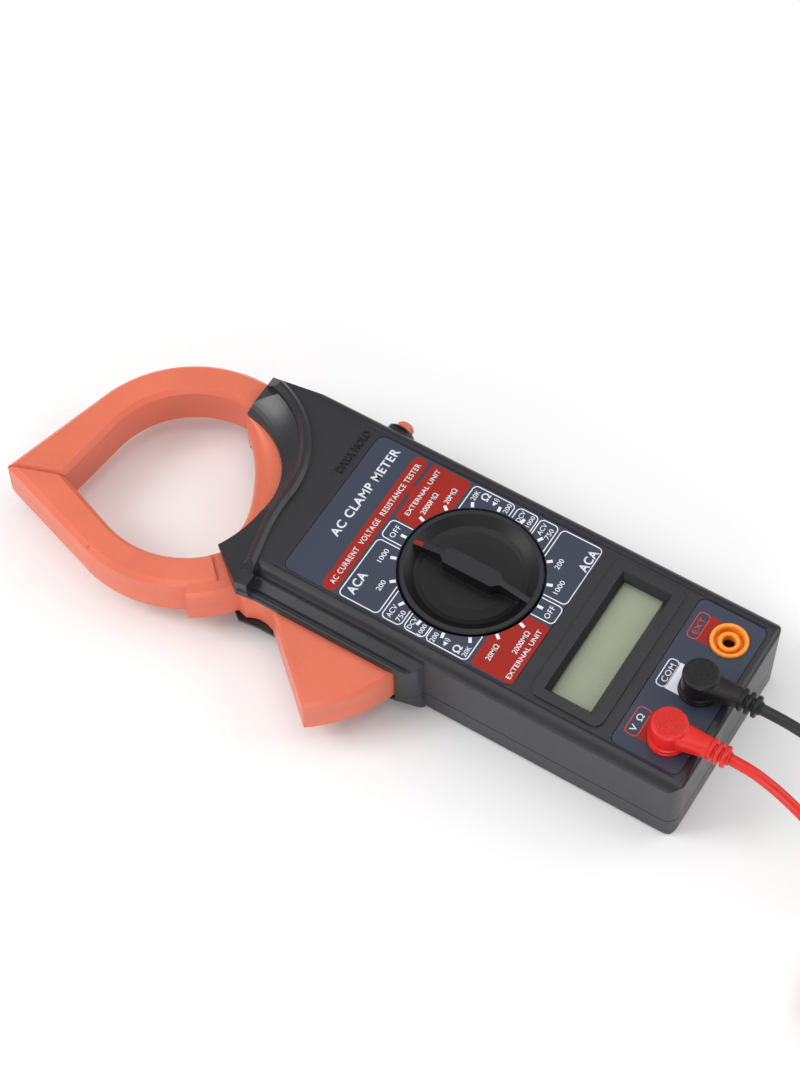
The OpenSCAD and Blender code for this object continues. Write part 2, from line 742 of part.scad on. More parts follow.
// Finger blade: a sector about the pivot with a bevelled rim
module blade() {
    b = 1.2;
    difference() {
        intersection() {
            translate([pivot_at.x, pivot_at.y, 0]) rotate_extrude()
                polygon([[hub_r - 3, blade_low], [trigger_r - b, blade_low], [trigger_r, blade_low + b],
                    [trigger_r, blade_top - b], [trigger_r - b, blade_top], [hub_r - 3, blade_top]]);
            slab(blade_low - 1, blade_top + 1) polygon(concat(
                [polar(ring_c, 37, 231), polar(ring_c, guard_r - 3, 231)],
                arc([-45.3, 51.6], 8.3, 35, -42.7),
                [blade_root, blade_tip, blade_tip * 2 - blade_root, polar(pivot_at, 90, blade_in_a),
                    polar(pivot_at, hub_r - 2, -62), polar(pivot_at, hub_r - 2, 60),
                    polar(ring_c, 38, 249)]));
        }
        edge_bevel(blade_root, blade_tip + (blade_tip - blade_root), blade_low, blade_top, b - 0.2);
    }
}

module blade_hollow() {
    slab(blade_low + 2, blade_top - 2) polygon(concat(
        [[-41, 39.6], [-56, 23.2]],
        arc(pivot_at, trigger_r - 4, -140, blade_in_a - 365, 8),
        [[-27, 36], [-33, 41]]));
}

module moving_half(front) {
    color(orange) difference() {
        intersection() {
            moving_jaw();
            half_space(front);
        }
        moving_core_shape(0.15);
    }
}

module moving_jaw_front() {
    moving_half(true);
}

module moving_jaw_rear() {
    moving_half(false);
}

module moving_core_shape(gap) {
    bar = [polar(ring_c, core_in - gap + 0.7, moving_turn + 2), tip_in + [-1, 3.2 - gap],
        tip_out + [1.6, -6 + gap], polar(ring_c, core_out + gap - 0.7, moving_turn + 2)];
    ring_part(ring_c, core_in - gap, core_out + gap, moving_turn, core_end_a,
        core_low - gap, core_low + core_t + gap);
    intersection() {
        slab(core_low - gap + 0.2, core_low + core_t + gap - 0.2) polygon(bar);
        moving_side(tip_gap - gap);
    }
}

module moving_core() {
    color([0.42, 0.42, 0.44]) moving_core_shape(0);
}

module pivot_pin() {
    color(steel) rod(pivot_at.x, pivot_at.y, wall, under_z - 0.1, pivot_d / 2);
}

// Torsion spring round the rear pivot post, drawn as closed turns with two legs
module trigger_spring() {
    wire = 0.45;
    pitch = 1.05;
    z0 = wall + 0.6;
    color(steel) translate([pivot_at.x, pivot_at.y, z0]) {
        for (i = [0:3]) translate([0, 0, i * pitch]) rotate_extrude() translate([4.2, 0])
            circle(wire, $fn = 16);
        for (s = [-1, 1]) translate([s * 4.2, -0.6, s > 0 ? 0 : 3 * pitch])
            rotate([90, 0, s * 12]) cylinder(r = wire - 0.06, h = s > 0 ? 12 : 15, $fn = 16);
    }
}

// Selector: a dish sunk in the face, with a grip across it
module selector_knob() {
    rim = face_z + rim_h;
    dish = face_z - dish_depth;
    color([0.12, 0.12, 0.12]) union() {
        rotate_extrude() polygon([[0, knob_z], [knob_r + 1.4, knob_z], [knob_r + 1.4, under_z - 0.3],
            [knob_r, under_z - 0.3], [knob_r, rim - 0.4], [knob_r - 0.4, rim], [knob_r - 1.6, rim],
            [knob_r - 2.2, rim - 0.5], [knob_r - 4.6, dish + 0.8], [knob_r - 6.4, dish + 0.2],
            [12, dish], [0, dish]]);
        intersection() {
            slab(dish - 0.4, face_z + grip_h) grip_outline();
            rotate([90, 0, 90]) translate([0, 0, -10]) linear_extrude(20)
                polygon([[-knob_r + 1.7, 0], [knob_r - 1.7, 0], [knob_r - 1.7, rim - 0.2],
                    [10.6, face_z + grip_h - 0.2], [9.4, face_z + grip_h], [-9.4, face_z + grip_h],
                    [-10.6, face_z + grip_h - 0.2], [-knob_r + 1.7, rim - 0.2]]);
        }
    }
}

module grip_outline() {
    union() {
        square([2, knob_d - 3.2], center = true);
        polygon([[-1, -10.4], [1, -10.4], [2.95, -8.2], [2.95, 8.2], [1, 10.4],
            [-1, 10.4], [-2.95, 8.2], [-2.95, -8.2]]);
    }
}

module knob_rotor() {
    color([0.85, 0.85, 0.82]) difference() {
        rod(0, 0, rotor_z, knob_z, 15.5);
        for (i = [0:2]) rotate([0, 0, 120 * i]) translate([0, 0, rotor_z - 1])
            block([-1.6, 10, 0], [1.6, 14, 1.5]);
    }
}

module knob_wipers() {
    color(brass) for (i = [0:2]) rotate([0, 0, 120 * i])
        block([-1.5, 10.1, board_top + 0.06], [1.5, 13.9, rotor_z + 0.5]);
}

module hold_button() {
    color(orange) translate([0, hold_at.x, hold_at.y]) rotate([0, 90, 0]) rotate_extrude() {
        r = hold_d / 2;
        x0 = half_w - wall - 3;
        x1 = hold_x + hold_travel + 1.1;
        polygon(concat([[0, x0], [r + 1.2, x0], [r + 1.2, x0 + 1.8], [r, x0 + 1.8], [r, x1]],
            [for (a = [15:15:90]) [r * cos(a), x1 + 1.6 * sin(a)]]));
    }
}

// Jacks
module jack_collar(i, tint) {
    r = collar_d / 2;
    bore = jack_bore / 2;
    color(tint) translate([i * jack_pitch, -jack_y, 0]) rotate_extrude()
        polygon([[socket_r + 0.02, board_top], [r + 1, board_top], [r + 1, under_z - 0.02],
            [r, under_z - 0.02], [r, collar_top - 0.3], [r - 0.3, collar_top],
            [r - 1, collar_top], [r - 1.3, collar_top - 0.4], [r - 1.4, shelf_z + 0.4],
            [socket_r + 0.5, shelf_z + 0.4], [socket_r + 0.4, collar_top - 1],
            [socket_r, collar_top - 0.6], [bore + 0.4, collar_top - 0.6], [bore, collar_top - 1],
            [bore, shelf_z], [socket_r + 0.02, shelf_z]]);
}

module socket(i) {
    color(brass) difference() {
        rod(i * jack_pitch, -jack_y, 11, shelf_z - 0.02, socket_r);
        rod(i * jack_pitch, -jack_y, 12.2, collar_top + 1, jack_bore / 2);
    }
}

module ext_jack() {
    jack_collar(1, [0.95, 0.62, 0.20]);
}

module com_jack() {
    jack_collar(0, [0.10, 0.10, 0.10]);
}

module volt_jack() {
    jack_collar(-1, [0.85, 0.18, 0.12]);
}

module ext_socket() {
    socket(1);
}

module com_socket() {
    socket(0);
}

module volt_socket() {
    socket(-1);
}

// Right-angled plug: a round head on the jack, a neck and a ribbed strain relief
module plug(i, tint) {
    r = plug_d / 2;
    color(tint) translate([i * jack_pitch, -jack_y, 0]) union() {
        rotate_extrude() polygon([[0, plug_z], [r - 0.3, plug_z], [r, plug_z + 0.4],
            [r - 0.2, plug_top - 0.6], [r - 0.8, plug_top], [0, plug_top]]);
        translate([-3.6, -12.6, plug_neck_z - 3.2]) cube([7.2, 11, 6.4]);
        translate([0, -12.4, plug_neck_z]) rotate([90, 0, 0]) {
            cylinder(r = 2.5, h = 7.4);
            for (k = [0:2]) translate([0, 0, 0.6 + k * 2.4]) cylinder(r = 3.3 - 0.2 * k, h = 1.5);
        }
    }
}

module plug_pin(i) {
    color(steel) rod(i * jack_pitch, -jack_y, 14, plug_z, jack_bore / 2 - 0.08);
}

// Test leads
module tube(route, r) {
    sides = 8;
    steps = 3;
    last = len(route) - 1;
    at = function (k) route[max(0, min(last, k))];
    bend = function (k, t) let (a = at(k - 1), b = at(k), c = at(k + 1), d = at(k + 2))
        (2 * b + (c - a) * t + (2 * a - 5 * b + 4 * c - d) * t * t
            + (3 * b - a - 3 * c + d) * t * t * t) / 2;
    path = concat([for (k = [0:last - 1], j = [0:steps - 1]) bend(k, j / steps)], [route[last]]);
    n = len(path);
    ring = function (i) let (
            d = path[min(n - 1, i + 1)] - path[max(0, i - 1)],
            w = d / norm(d),
            flat = abs(w.z) > 0.9 ? [1, 0, 0] : [0, 0, 1],
            u = cross(flat, w) / norm(cross(flat, w)),
            v = cross(w, u))
        [for (k = [0:sides - 1]) path[i] + r * (u * cos(360 * k / sides) + v * sin(360 * k / sides))];
    points = [for (i = [0:n - 1]) each ring(i)];
    sheets = [for (i = [0:n - 2], k = [0:sides - 1]) let (m = (k + 1) % sides)
        [i * sides + k, (i + 1) * sides + k, (i + 1) * sides + m, i * sides + m]];
    ends = [[for (k = [0:sides - 1]) k], [for (k = [sides - 1:-1:0]) (n - 1) * sides + k]];
    polyhedron(points, concat(sheets, ends), 4);
}

module lead(route, tail, tint) {
    color(tint) {
        tube(route, lead_r - 0.02);
        tube(tail, lead_r - 0.02);
    }
}

module lead_coil(c, tint) {
    h = 2 * lead_d;
    b = 1.2;
    color(tint) translate([c.x, c.y, 0]) rotate_extrude()
        polygon([[coil_in + b, 0], [coil_out - b, 0], [coil_out, b], [coil_out, h - b],
            [coil_out - b, h], [coil_in + b, h], [coil_in, h - b], [coil_in, b]]);
}

// Probe lying along X, pointing to way = 1 or -1
module probe(at, way, tint) {
    grip_end = 10 + handle_l;
    color(tint) translate([at.x, at.y, probe_z]) rotate([0, way * 90, 0]) rotate_extrude()
        polygon([[0, 0], [2.3, 0], [3.2, 10], [4.6, 10], [5.5, 13], [5.5, 22], [4.5, 34],
            [4.3, grip_end - 18], [4.5, grip_end - 14], [5.5, grip_end - 13], [5.5, grip_end - 10.5],
            [3.6, grip_end - 9], [2.2, grip_end], [0, grip_end]]);
}

module probe_tip(at, way) {
    grip_end = 10 + handle_l;
    color(steel) translate([at.x, at.y, probe_z]) rotate([0, way * 90, 0]) rotate_extrude()
        polygon([[0, grip_end + eps], [1, grip_end + eps], [1, grip_end + 15], [0, grip_end + 18]]);
}

red = [0.88, 0.16, 0.12];
dark = [0.12, 0.12, 0.13];

module red_plug() {
    plug(-1, red);
}

module red_plug_pin() {
    plug_pin(-1);
}

module red_lead() {
    lead(red_route, red_tail, red);
}

module red_coil() {
    lead_coil(red_coil_at, red);
}

module red_probe() {
    probe(red_probe_at, 1, red);
}

module red_probe_tip() {
    probe_tip(red_probe_at, 1);
}

module black_plug() {
    plug(0, dark);
}

module black_plug_pin() {
    plug_pin(0);
}

module black_lead() {
    lead(black_route, black_tail, dark);
}

module black_coil() {
    lead_coil(black_coil_at, dark);
}

module black_probe() {
    probe(black_probe_at, -1, dark);
}

module black_probe_tip() {
    probe_tip(black_probe_at, -1);
}

// Drawn sub-parts
front_cover();
rear_cover();
battery_cover();
battery_screw();
case_screws();
main_label();
jack_label();
rear_label();
display_window();
display_panel();
circuit_board();
board_screws();
chip();
fuse();
buzzer();
hold_switch();
battery();
battery_snap();
fixed_jaw_front();
fixed_jaw_rear();
cradle_liner();
fixed_core();
pickup_coil();
pivot_pin();
trigger_spring();
moving_jaw_front();
moving_jaw_rear();
moving_core();
selector_knob();
knob_rotor();
knob_wipers();
hold_button();
ext_jack();
com_jack();
volt_jack();
ext_socket();
com_socket();
volt_socket();
red_plug();
red_plug_pin();
red_lead();
red_coil();
red_probe();
red_probe_tip();
black_plug();
black_plug_pin();
black_lead();
black_coil();
black_probe();
black_probe_tip();
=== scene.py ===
"""Looks for the clamp meter: materials, printing, fine parts, test leads, camera and light."""
import math

import bmesh
import bpy
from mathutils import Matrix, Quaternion, Vector


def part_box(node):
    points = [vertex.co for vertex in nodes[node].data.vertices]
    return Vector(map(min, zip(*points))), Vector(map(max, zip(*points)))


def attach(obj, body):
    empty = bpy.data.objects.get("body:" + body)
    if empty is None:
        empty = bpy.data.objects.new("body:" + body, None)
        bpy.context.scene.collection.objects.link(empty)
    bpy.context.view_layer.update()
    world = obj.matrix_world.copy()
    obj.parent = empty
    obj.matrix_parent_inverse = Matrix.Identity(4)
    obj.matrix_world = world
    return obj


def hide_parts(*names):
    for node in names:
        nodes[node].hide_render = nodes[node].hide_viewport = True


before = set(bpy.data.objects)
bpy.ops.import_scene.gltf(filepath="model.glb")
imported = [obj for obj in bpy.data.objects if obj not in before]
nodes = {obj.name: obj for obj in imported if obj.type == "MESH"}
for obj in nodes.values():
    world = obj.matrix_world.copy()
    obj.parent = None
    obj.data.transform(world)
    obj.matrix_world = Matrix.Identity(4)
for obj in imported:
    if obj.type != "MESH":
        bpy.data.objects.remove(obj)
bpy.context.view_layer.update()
scene = bpy.context.scene

# Lengths are in millimetres, and MM turns them into Blender's metres
MM = 0.001


def middle(node):
    """The middle of a CAD node's box, to the nearest tenth."""
    return [round((a + b) / 2 / MM, 1) for a, b in zip(*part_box(node))]


def top_of(node):
    """The height of a CAD node's highest point, to the nearest tenth."""
    return round(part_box(node)[1][2] / MM, 1)


FACE = top_of("main_label")         # height of the printed face
DECK = FACE + 0.2                   # height of the plastic round the labels
INK = 0.06                          # thickness of the printing
PRINT_TOP = FACE + INK              # height of the white and red lettering
FILL_TOP = FACE + INK * 0.6         # height of the red areas, under the white lettering
OUTLINE = 0.34                      # width of the white outlines
FONT_CAP = 0.729                    # cap height of Blender's own font at size 1
PRINT_EDGE = 22.75                  # the printing stays this far from the dial's centre
JACK_Y = middle("com_jack")[1]      # the jack row
JACK_PITCH = middle("ext_jack")[0]
LEAD_D = 3.5                        # thickness of the test leads
LEAD_Z = 36                         # height at which they leave the plugs
PROBE_Z = middle("red_probe")[2]    # height of the probes' axis


def link(obj):
    scene.collection.objects.link(obj)
    return obj


# Camera: the photograph's place, direction and slight roll
def make_camera():
    data = bpy.data.cameras.new("camera")
    data.lens = 89.3
    data.sensor_width = 36
    data.clip_start, data.clip_end = 0.05, 20
    cam = link(bpy.data.objects.new("camera", data))
    cam.location = (-0.3712, -0.2062, 0.7182)
    look = Vector((0.4518, 0.2815, -0.8465))
    cam.rotation_mode = "QUATERNION"
    cam.rotation_quaternion = look.to_track_quat("-Z", "Y") @ Quaternion((0, 0, 1), math.radians(-0.3))
    scene.camera = cam


make_camera()


# Material building
class Nodes:
    """A node tree with short calls for what every material here needs."""

    def __init__(self, name):
        self.mat = bpy.data.materials.new(name)
        self.mat.use_nodes = True
        self.tree = self.mat.node_tree
        self.shader = self.tree.nodes["Principled BSDF"]
        self.coord = self.add("ShaderNodeTexCoord").outputs["Object"]

    def add(self, kind, **values):
        node = self.tree.nodes.new(kind)
        for key, value in values.items():
            if key.startswith("in_"):
                node.inputs[key[3:].replace("_", " ")].default_value = value
            else:
                setattr(node, key, value)
        return node

    def join(self, a, b):
        self.tree.links.new(a, b)

    def noise(self, scale, detail=3.0, rough=0.55, vector=None):
        node = self.add("ShaderNodeTexNoise", in_Scale=scale, in_Detail=detail, in_Roughness=rough)
        self.join(vector or self.coord, node.inputs["Vector"])
        return node.outputs["Fac"]

    def span(self, value, lo, hi, a=0.0, b=1.0):
        node = self.add("ShaderNodeMapRange")
        node.inputs["From Min"].default_value = lo
        node.inputs["From Max"].default_value = hi
        node.inputs["To Min"].default_value = a
        node.inputs["To Max"].default_value = b
        self.join(value, node.inputs["Value"])
        return node.outputs["Result"]

    def z_of(self, vector):
        node = self.add("ShaderNodeSeparateXYZ")
        self.join(vector, node.inputs[0])
        return node.outputs["Z"]

    def math(self, op, a, b):
        node = self.add("ShaderNodeMath", operation=op)
        for i, v in enumerate((a, b)):
            if isinstance(v, (int, float)):
                node.inputs[i].default_value = v
            else:
                self.join(v, node.inputs[i])
        return node.outputs[0]

    def mix(self, fac, a, b):
        node = self.add("ShaderNodeMix", data_type="RGBA")
        for socket, v in ((node.inputs[0], fac), (node.inputs[6], a), (node.inputs[7], b)):
            if isinstance(v, (int, float, tuple)):
                socket.default_value = v
            else:
                self.join(v, socket)
        return node.outputs[2]

    def bump(self, height, strength, distance, normal=None):
        node = self.add("ShaderNodeBump", in_Strength=strength, in_Distance=distance)
        self.join(height, node.inputs["Height"])
        if normal is not None:
            self.join(normal, node.inputs["Normal"])
        return node.outputs["Normal"]

    def edge(self, radius):
        """Soft normal across sharp edges, and a mask that is bright at those edges."""
        bevel = self.add("ShaderNodeBevel", samples=4, in_Radius=radius)
        geo = self.add("ShaderNodeNewGeometry")
        dot = self.add("ShaderNodeVectorMath", operation="DOT_PRODUCT")
        self.join(bevel.outputs[0], dot.inputs[0])
        self.join(geo.outputs["Normal"], dot.inputs[1])
        return bevel.outputs[0], self.span(dot.outputs["Value"], 0.995, 0.75)


def srgb(r, g, b):
    """A linear colour from the 0 to 255 numbers of a screen colour."""
    def lin(c):
        c /= 255
        return c / 12.92 if c <= 0.04045 else ((c + 0.055) / 1.055) ** 2.4
    return (lin(r), lin(g), lin(b), 1.0)


def shade(colour, k):
    """A colour made k times as bright."""
    return tuple(min(1.0, c * k) for c in colour[:3]) + (1.0,)


def plastic(name, colour, rough=0.42, grain=0.35, grain_size=900, worn=0.35, gloss=0.5, glow=0.0,
            painted_highlight_above=None):
    """Moulded plastic: faint mottling, fine spark-eroded grain, scuffs and paler worn edges.
    Faces that look up from over the height in the last argument get a painted highlight: they are painted
    paler."""
    n = Nodes(name)
    soft_normal, rim = n.edge(0.35 * MM)
    patch = n.noise(38, 3)
    fine = n.noise(grain_size, 2, 0.6)
    wear_noise = n.noise(260, 4, 0.65)
    base = n.mix(n.span(patch, 0.3, 0.7), shade(colour, 0.93), shade(colour, 1.07))
    dust = n.math("MULTIPLY", n.span(fine, 0.4, 0.75), 0.06)
    base = n.mix(dust, base, shade(colour, 1.8))
    wear = n.math("MULTIPLY", n.math("MULTIPLY", rim, n.span(wear_noise, 0.35, 0.7)), worn)
    base = n.mix(wear, base, shade(colour, 1.75))
    # Painted highlight: faces that look up from over the given height are painted paler, standing in for
    # light on the tops
    if painted_highlight_above:
        high = n.span(n.z_of(n.coord), painted_highlight_above * MM, (painted_highlight_above + 0.2) * MM)
        up = n.span(n.z_of(n.add("ShaderNodeNewGeometry").outputs["Normal"]), 0.8, 0.95)
        base = n.mix(n.math("MULTIPLY", high, up), base, shade(colour, 3.8))
    n.join(base, n.shader.inputs["Base Color"])
    stretch = n.add("ShaderNodeMapping")
    stretch.inputs["Scale"].default_value = (1.0, 0.12, 1.0)
    stretch.inputs["Rotation"].default_value = (0, 0, 0.5)
    n.join(n.coord, stretch.inputs["Vector"])
    scuff = n.span(n.noise(420, 3, 0.7, stretch.outputs[0]), 0.58, 0.78)
    r = n.math("ADD", n.span(patch, 0.3, 0.7, rough - 0.05, rough + 0.05), n.math("MULTIPLY", scuff, 0.07))
    r = n.math("ADD", r, n.math("MULTIPLY", wear, -0.12))
    n.join(r, n.shader.inputs["Roughness"])
    n.shader.inputs["Specular IOR Level"].default_value = gloss
    if glow:
        n.shader.inputs["Subsurface Weight"].default_value = glow
        n.shader.inputs["Subsurface Radius"].default_value = (0.9, 0.35, 0.2)
        n.shader.inputs["Subsurface Scale"].default_value = 0.0012
    normal = n.bump(fine, grain, 0.00006, soft_normal)
    normal = n.bump(n.noise(22, 2), 0.12, 0.0006, normal)
    n.join(normal, n.shader.inputs["Normal"])
    return n.mat


def printed(name, colour, rough=0.5, gloss=0.5):
    """Screen-printed ink or a printed plastic foil: slight mottling and a fine orange-peel surface."""
    n = Nodes(name)
    patch = n.noise(60, 3)
    fine = n.noise(1400, 2, 0.6)
    base = n.mix(n.span(patch, 0.3, 0.7), shade(colour, 0.95), shade(colour, 1.05))
    speckle = n.math("MULTIPLY", n.span(fine, 0.45, 0.75), 0.05)
    base = n.mix(speckle, base, shade(colour, 1.6))
    n.join(base, n.shader.inputs["Base Color"])
    n.join(n.span(fine, 0.3, 0.7, rough - 0.04, rough + 0.06), n.shader.inputs["Roughness"])
    n.shader.inputs["Specular IOR Level"].default_value = gloss
    n.join(n.bump(fine, 0.25, 0.00003), n.shader.inputs["Normal"])
    return n.mat


def metal(name, colour, rough=0.3, turned=False):
    """Bare or plated metal with fine tool marks."""
    n = Nodes(name)
    patch = n.noise(90, 4, 0.6)
    stretch = n.add("ShaderNodeMapping")
    stretch.inputs["Scale"].default_value = (1.0, 1.0, 14.0) if turned else (9.0, 1.0, 1.0)
    n.join(n.coord, stretch.inputs["Vector"])
    marks = n.noise(500, 3, 0.6, stretch.outputs[0])
    n.join(n.mix(n.span(patch, 0.3, 0.7), shade(colour, 0.88), shade(colour, 1.08)),
           n.shader.inputs["Base Color"])
    n.shader.inputs["Metallic"].default_value = 1.0
    n.join(n.span(marks, 0.3, 0.7, rough - 0.07, rough + 0.09), n.shader.inputs["Roughness"])
    n.join(n.bump(marks, 0.3, 0.00004, n.edge(0.0002)[0]), n.shader.inputs["Normal"])
    return n.mat


def cable_skin(name, colour):
    """Soft PVC cable: faint ripple along the length, a satin skin, a little dust."""
    n = Nodes(name)
    patch = n.noise(120, 3)
    fine = n.noise(1600, 2)
    base = n.mix(n.span(patch, 0.3, 0.7), shade(colour, 0.9), shade(colour, 1.1))
    base = n.mix(n.math("MULTIPLY", n.span(fine, 0.5, 0.75), 0.08), base, shade(colour, 1.9))
    n.join(base, n.shader.inputs["Base Color"])
    n.join(n.span(patch, 0.3, 0.7, 0.34, 0.46), n.shader.inputs["Roughness"])
    n.join(n.bump(fine, 0.25, 0.00005, n.bump(n.noise(150, 2), 0.3, 0.0002)), n.shader.inputs["Normal"])
    return n.mat


def clear_plastic(name):
    """Thin clear window: nearly invisible but for its gloss."""
    n = Nodes(name)
    fine = n.noise(300, 3)
    n.shader.inputs["Base Color"].default_value = (0.8, 0.84, 0.8, 1)
    n.shader.inputs["Alpha"].default_value = 0.1
    n.shader.inputs["Specular IOR Level"].default_value = 0.5
    n.join(n.span(fine, 0.3, 0.7, 0.05, 0.11), n.shader.inputs["Roughness"])
    n.join(n.bump(n.noise(40, 2), 0.05, 0.0003), n.shader.inputs["Normal"])
    return n.mat


def lcd_glass(name):
    """Blank liquid crystal panel: pale grey-green, faintly mottled, with fine polariser grain."""
    n = Nodes(name)
    patch = n.noise(30, 2)
    fine = n.noise(2200, 2)
    base = n.mix(n.span(patch, 0.25, 0.75), srgb(134, 141, 112), srgb(150, 156, 126))
    base = n.mix(n.math("MULTIPLY", n.span(fine, 0.4, 0.7), 0.12), base, srgb(172, 177, 152))
    n.join(base, n.shader.inputs["Base Color"])
    n.join(n.span(patch, 0.3, 0.7, 0.18, 0.28), n.shader.inputs["Roughness"])
    n.join(n.bump(fine, 0.08, 0.00003), n.shader.inputs["Normal"])
    return n.mat


def woven_board(name):
    """Green circuit board: solder resist over a faint weave, with paler tracks."""
    n = Nodes(name)
    wave = n.add("ShaderNodeTexWave", in_Scale=420.0, in_Distortion=2.0)
    n.join(n.coord, wave.inputs["Vector"])
    track = n.add("ShaderNodeTexVoronoi", feature="DISTANCE_TO_EDGE", in_Scale=150.0)
    n.join(n.coord, track.inputs["Vector"])
    base = n.mix(n.span(track.outputs["Distance"], 0.04, 0.06), srgb(70, 140, 90), srgb(24, 84, 52))
    n.join(base, n.shader.inputs["Base Color"])
    n.join(n.span(n.noise(200), 0.3, 0.7, 0.3, 0.45), n.shader.inputs["Roughness"])
    n.join(n.bump(wave.outputs["Fac"], 0.2, 0.00005), n.shader.inputs["Normal"])
    return n.mat


def ribbed_coil(name):
    """Enamelled wire in close turns, with painted shade in the grooves between them."""
    n = Nodes(name)
    wave = n.add("ShaderNodeTexWave", wave_type="BANDS", bands_direction="X", in_Scale=900.0,
                 in_Distortion=0.6)
    n.join(n.coord, wave.inputs["Vector"])
    # The darker bands are painted shade in the grooves between the turns
    n.join(n.mix(wave.outputs["Fac"], srgb(120, 60, 25), srgb(205, 125, 65)), n.shader.inputs["Base Color"])
    n.shader.inputs["Metallic"].default_value = 0.8
    n.join(n.span(n.noise(300), 0.3, 0.7, 0.25, 0.4), n.shader.inputs["Roughness"])
    n.join(n.bump(wave.outputs["Fac"], 0.6, 0.0002), n.shader.inputs["Normal"])
    return n.mat


BLACK = srgb(33, 32, 37)
ORANGE = srgb(214, 109, 81)
WHITE_INK = srgb(218, 222, 230)
RED_INK = srgb(148, 26, 8)
LABEL = srgb(44, 51, 70)

mats = {
    "case": plastic("black_case", BLACK, 0.31, 0.4, 1100, 0.25, 0.48),
    # The knob's tops above the deck get a painted highlight
    "knob": plastic("knob_black", srgb(14, 14, 16), 0.42, 0.45, 1200, 0.5, 0.35, painted_highlight_above=DECK),
    "orange": plastic("orange_plastic", ORANGE, 0.36, 0.35, 900, 0.18, 0.45, glow=0.3),
    "small_black": plastic("black_parts", srgb(34, 34, 37), 0.45, 0.4, 1300, 0.3),
    "label": printed("blue_label", LABEL, 0.42),
    "rear_label": printed("grey_label", srgb(176, 178, 180), 0.5),
    "white_ink": printed("white_ink", WHITE_INK, 0.5),
    "red_ink": printed("red_ink", RED_INK, 0.48, gloss=0.3),
    "red_line": printed("red_line", srgb(206, 52, 40), 0.48),
    "clear": clear_plastic("clear_window"),
    "lcd": lcd_glass("display_grey"),
    "board": woven_board("board_green"),
    "coil": ribbed_coil("copper_tape"),
    "steel": metal("steel", srgb(190, 190, 194), 0.28),
    "nickel": metal("nickel", srgb(205, 203, 198), 0.22, True),
    "brass": metal("brass", srgb(205, 165, 95), 0.26, True),
    "core": metal("core_steel", srgb(130, 130, 136), 0.45),
    "wrap": plastic("battery_wrap", srgb(58, 62, 74), 0.3, 0.1, 800, 0.2),
    "glass": plastic("fuse_glass", srgb(214, 220, 216), 0.12, 0.05, 600, 0.1),
    "rotor": plastic("rotor_white", srgb(222, 220, 212), 0.35, 0.2, 900, 0.15),
    "yellow": plastic("yellow_plastic", srgb(243, 152, 48), 0.34, 0.25, 1200, 0.12, glow=0.1),
    "red": plastic("red_plastic", srgb(212, 22, 12), 0.38, 0.25, 1300, 0.15, glow=0.1),
    "grip": plastic("black_grip", srgb(17, 17, 19), 0.4, 0.35, 1300, 0.3, 0.38),
    "red_cable": cable_skin("red_cable", srgb(208, 26, 18)),
    "black_cable": cable_skin("black_cable", srgb(26, 26, 28)),
}

NODE_FINISH = {
    "case": ["front_cover", "rear_cover", "battery_cover"],
    "steel": ["battery_screw", "case_screws", "board_screws", "pivot_pin", "trigger_spring"],
    "label": ["main_label", "jack_label"], "rear_label": ["rear_label"], "clear": ["display_window"],
    "lcd": ["display_panel"], "board": ["circuit_board"],
    "small_black": ["chip", "buzzer", "hold_switch", "battery_snap"], "glass": ["fuse"],
    "wrap": ["battery"],
    "orange": ["fixed_jaw_front", "fixed_jaw_rear", "cradle_liner", "moving_jaw_front",
               "moving_jaw_rear", "hold_button"],
    "core": ["fixed_core", "moving_core"], "coil": ["pickup_coil"], "knob": ["selector_knob"],
    "rotor": ["knob_rotor"], "brass": ["knob_wipers", "ext_socket", "com_socket", "volt_socket"],
    "yellow": ["ext_jack"], "grip": ["com_jack", "black_plug", "black_probe", "black_coil"],
    "red": ["volt_jack", "red_plug", "red_probe", "red_coil"],
    "nickel": ["red_plug_pin", "black_plug_pin", "red_probe_tip", "black_probe_tip"],
    "red_cable": ["red_lead"], "black_cable": ["black_lead"],
}
for finish, names in NODE_FINISH.items():
    for name in names:
        nodes[name].data.materials.clear()
        nodes[name].data.materials.append(mats[finish])


def done(obj, body, mat=None):
    """Gives a new piece its finish and the body that it rides on."""
    if mat:
        obj.data.materials.clear()
        obj.data.materials.append(mats[mat])
    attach(obj, body)
    return obj


def mesh_object(name, verts, faces, smooth=False):
    """A new object from points in millimetres, with its faces turned outwards."""
    mesh = bpy.data.meshes.new(name)
    mesh.from_pydata([Vector(v) * MM for v in verts], [], faces)
    bm = bmesh.new()
    bm.from_mesh(mesh)
    bmesh.ops.recalc_face_normals(bm, faces=bm.faces)
    bm.to_mesh(mesh)
    bm.free()
    for p in mesh.polygons:
        p.use_smooth = smooth
    if smooth:
        mesh.set_sharp_from_angle(angle=math.radians(40))
    return link(bpy.data.objects.new(name, mesh))


# Test leads: one smooth line each, from the plug's relief through the coil to the probe
def catmull(points, steps):
    """A smooth line through all the points, with that many steps to each stretch."""
    out = []
    last = len(points) - 1
    for k in range(last):
        a, b = points[max(0, k - 1)], points[k]
        c, d = points[k + 1], points[min(last, k + 2)]
        for j in range(steps):
            t = j / steps
            out.append((2 * b + (c - a) * t + (2 * a - 5 * b + 4 * c - d) * t * t
                        + (3 * b - a - 3 * c + d) * t ** 3) / 2)
    return out + [points[last]]


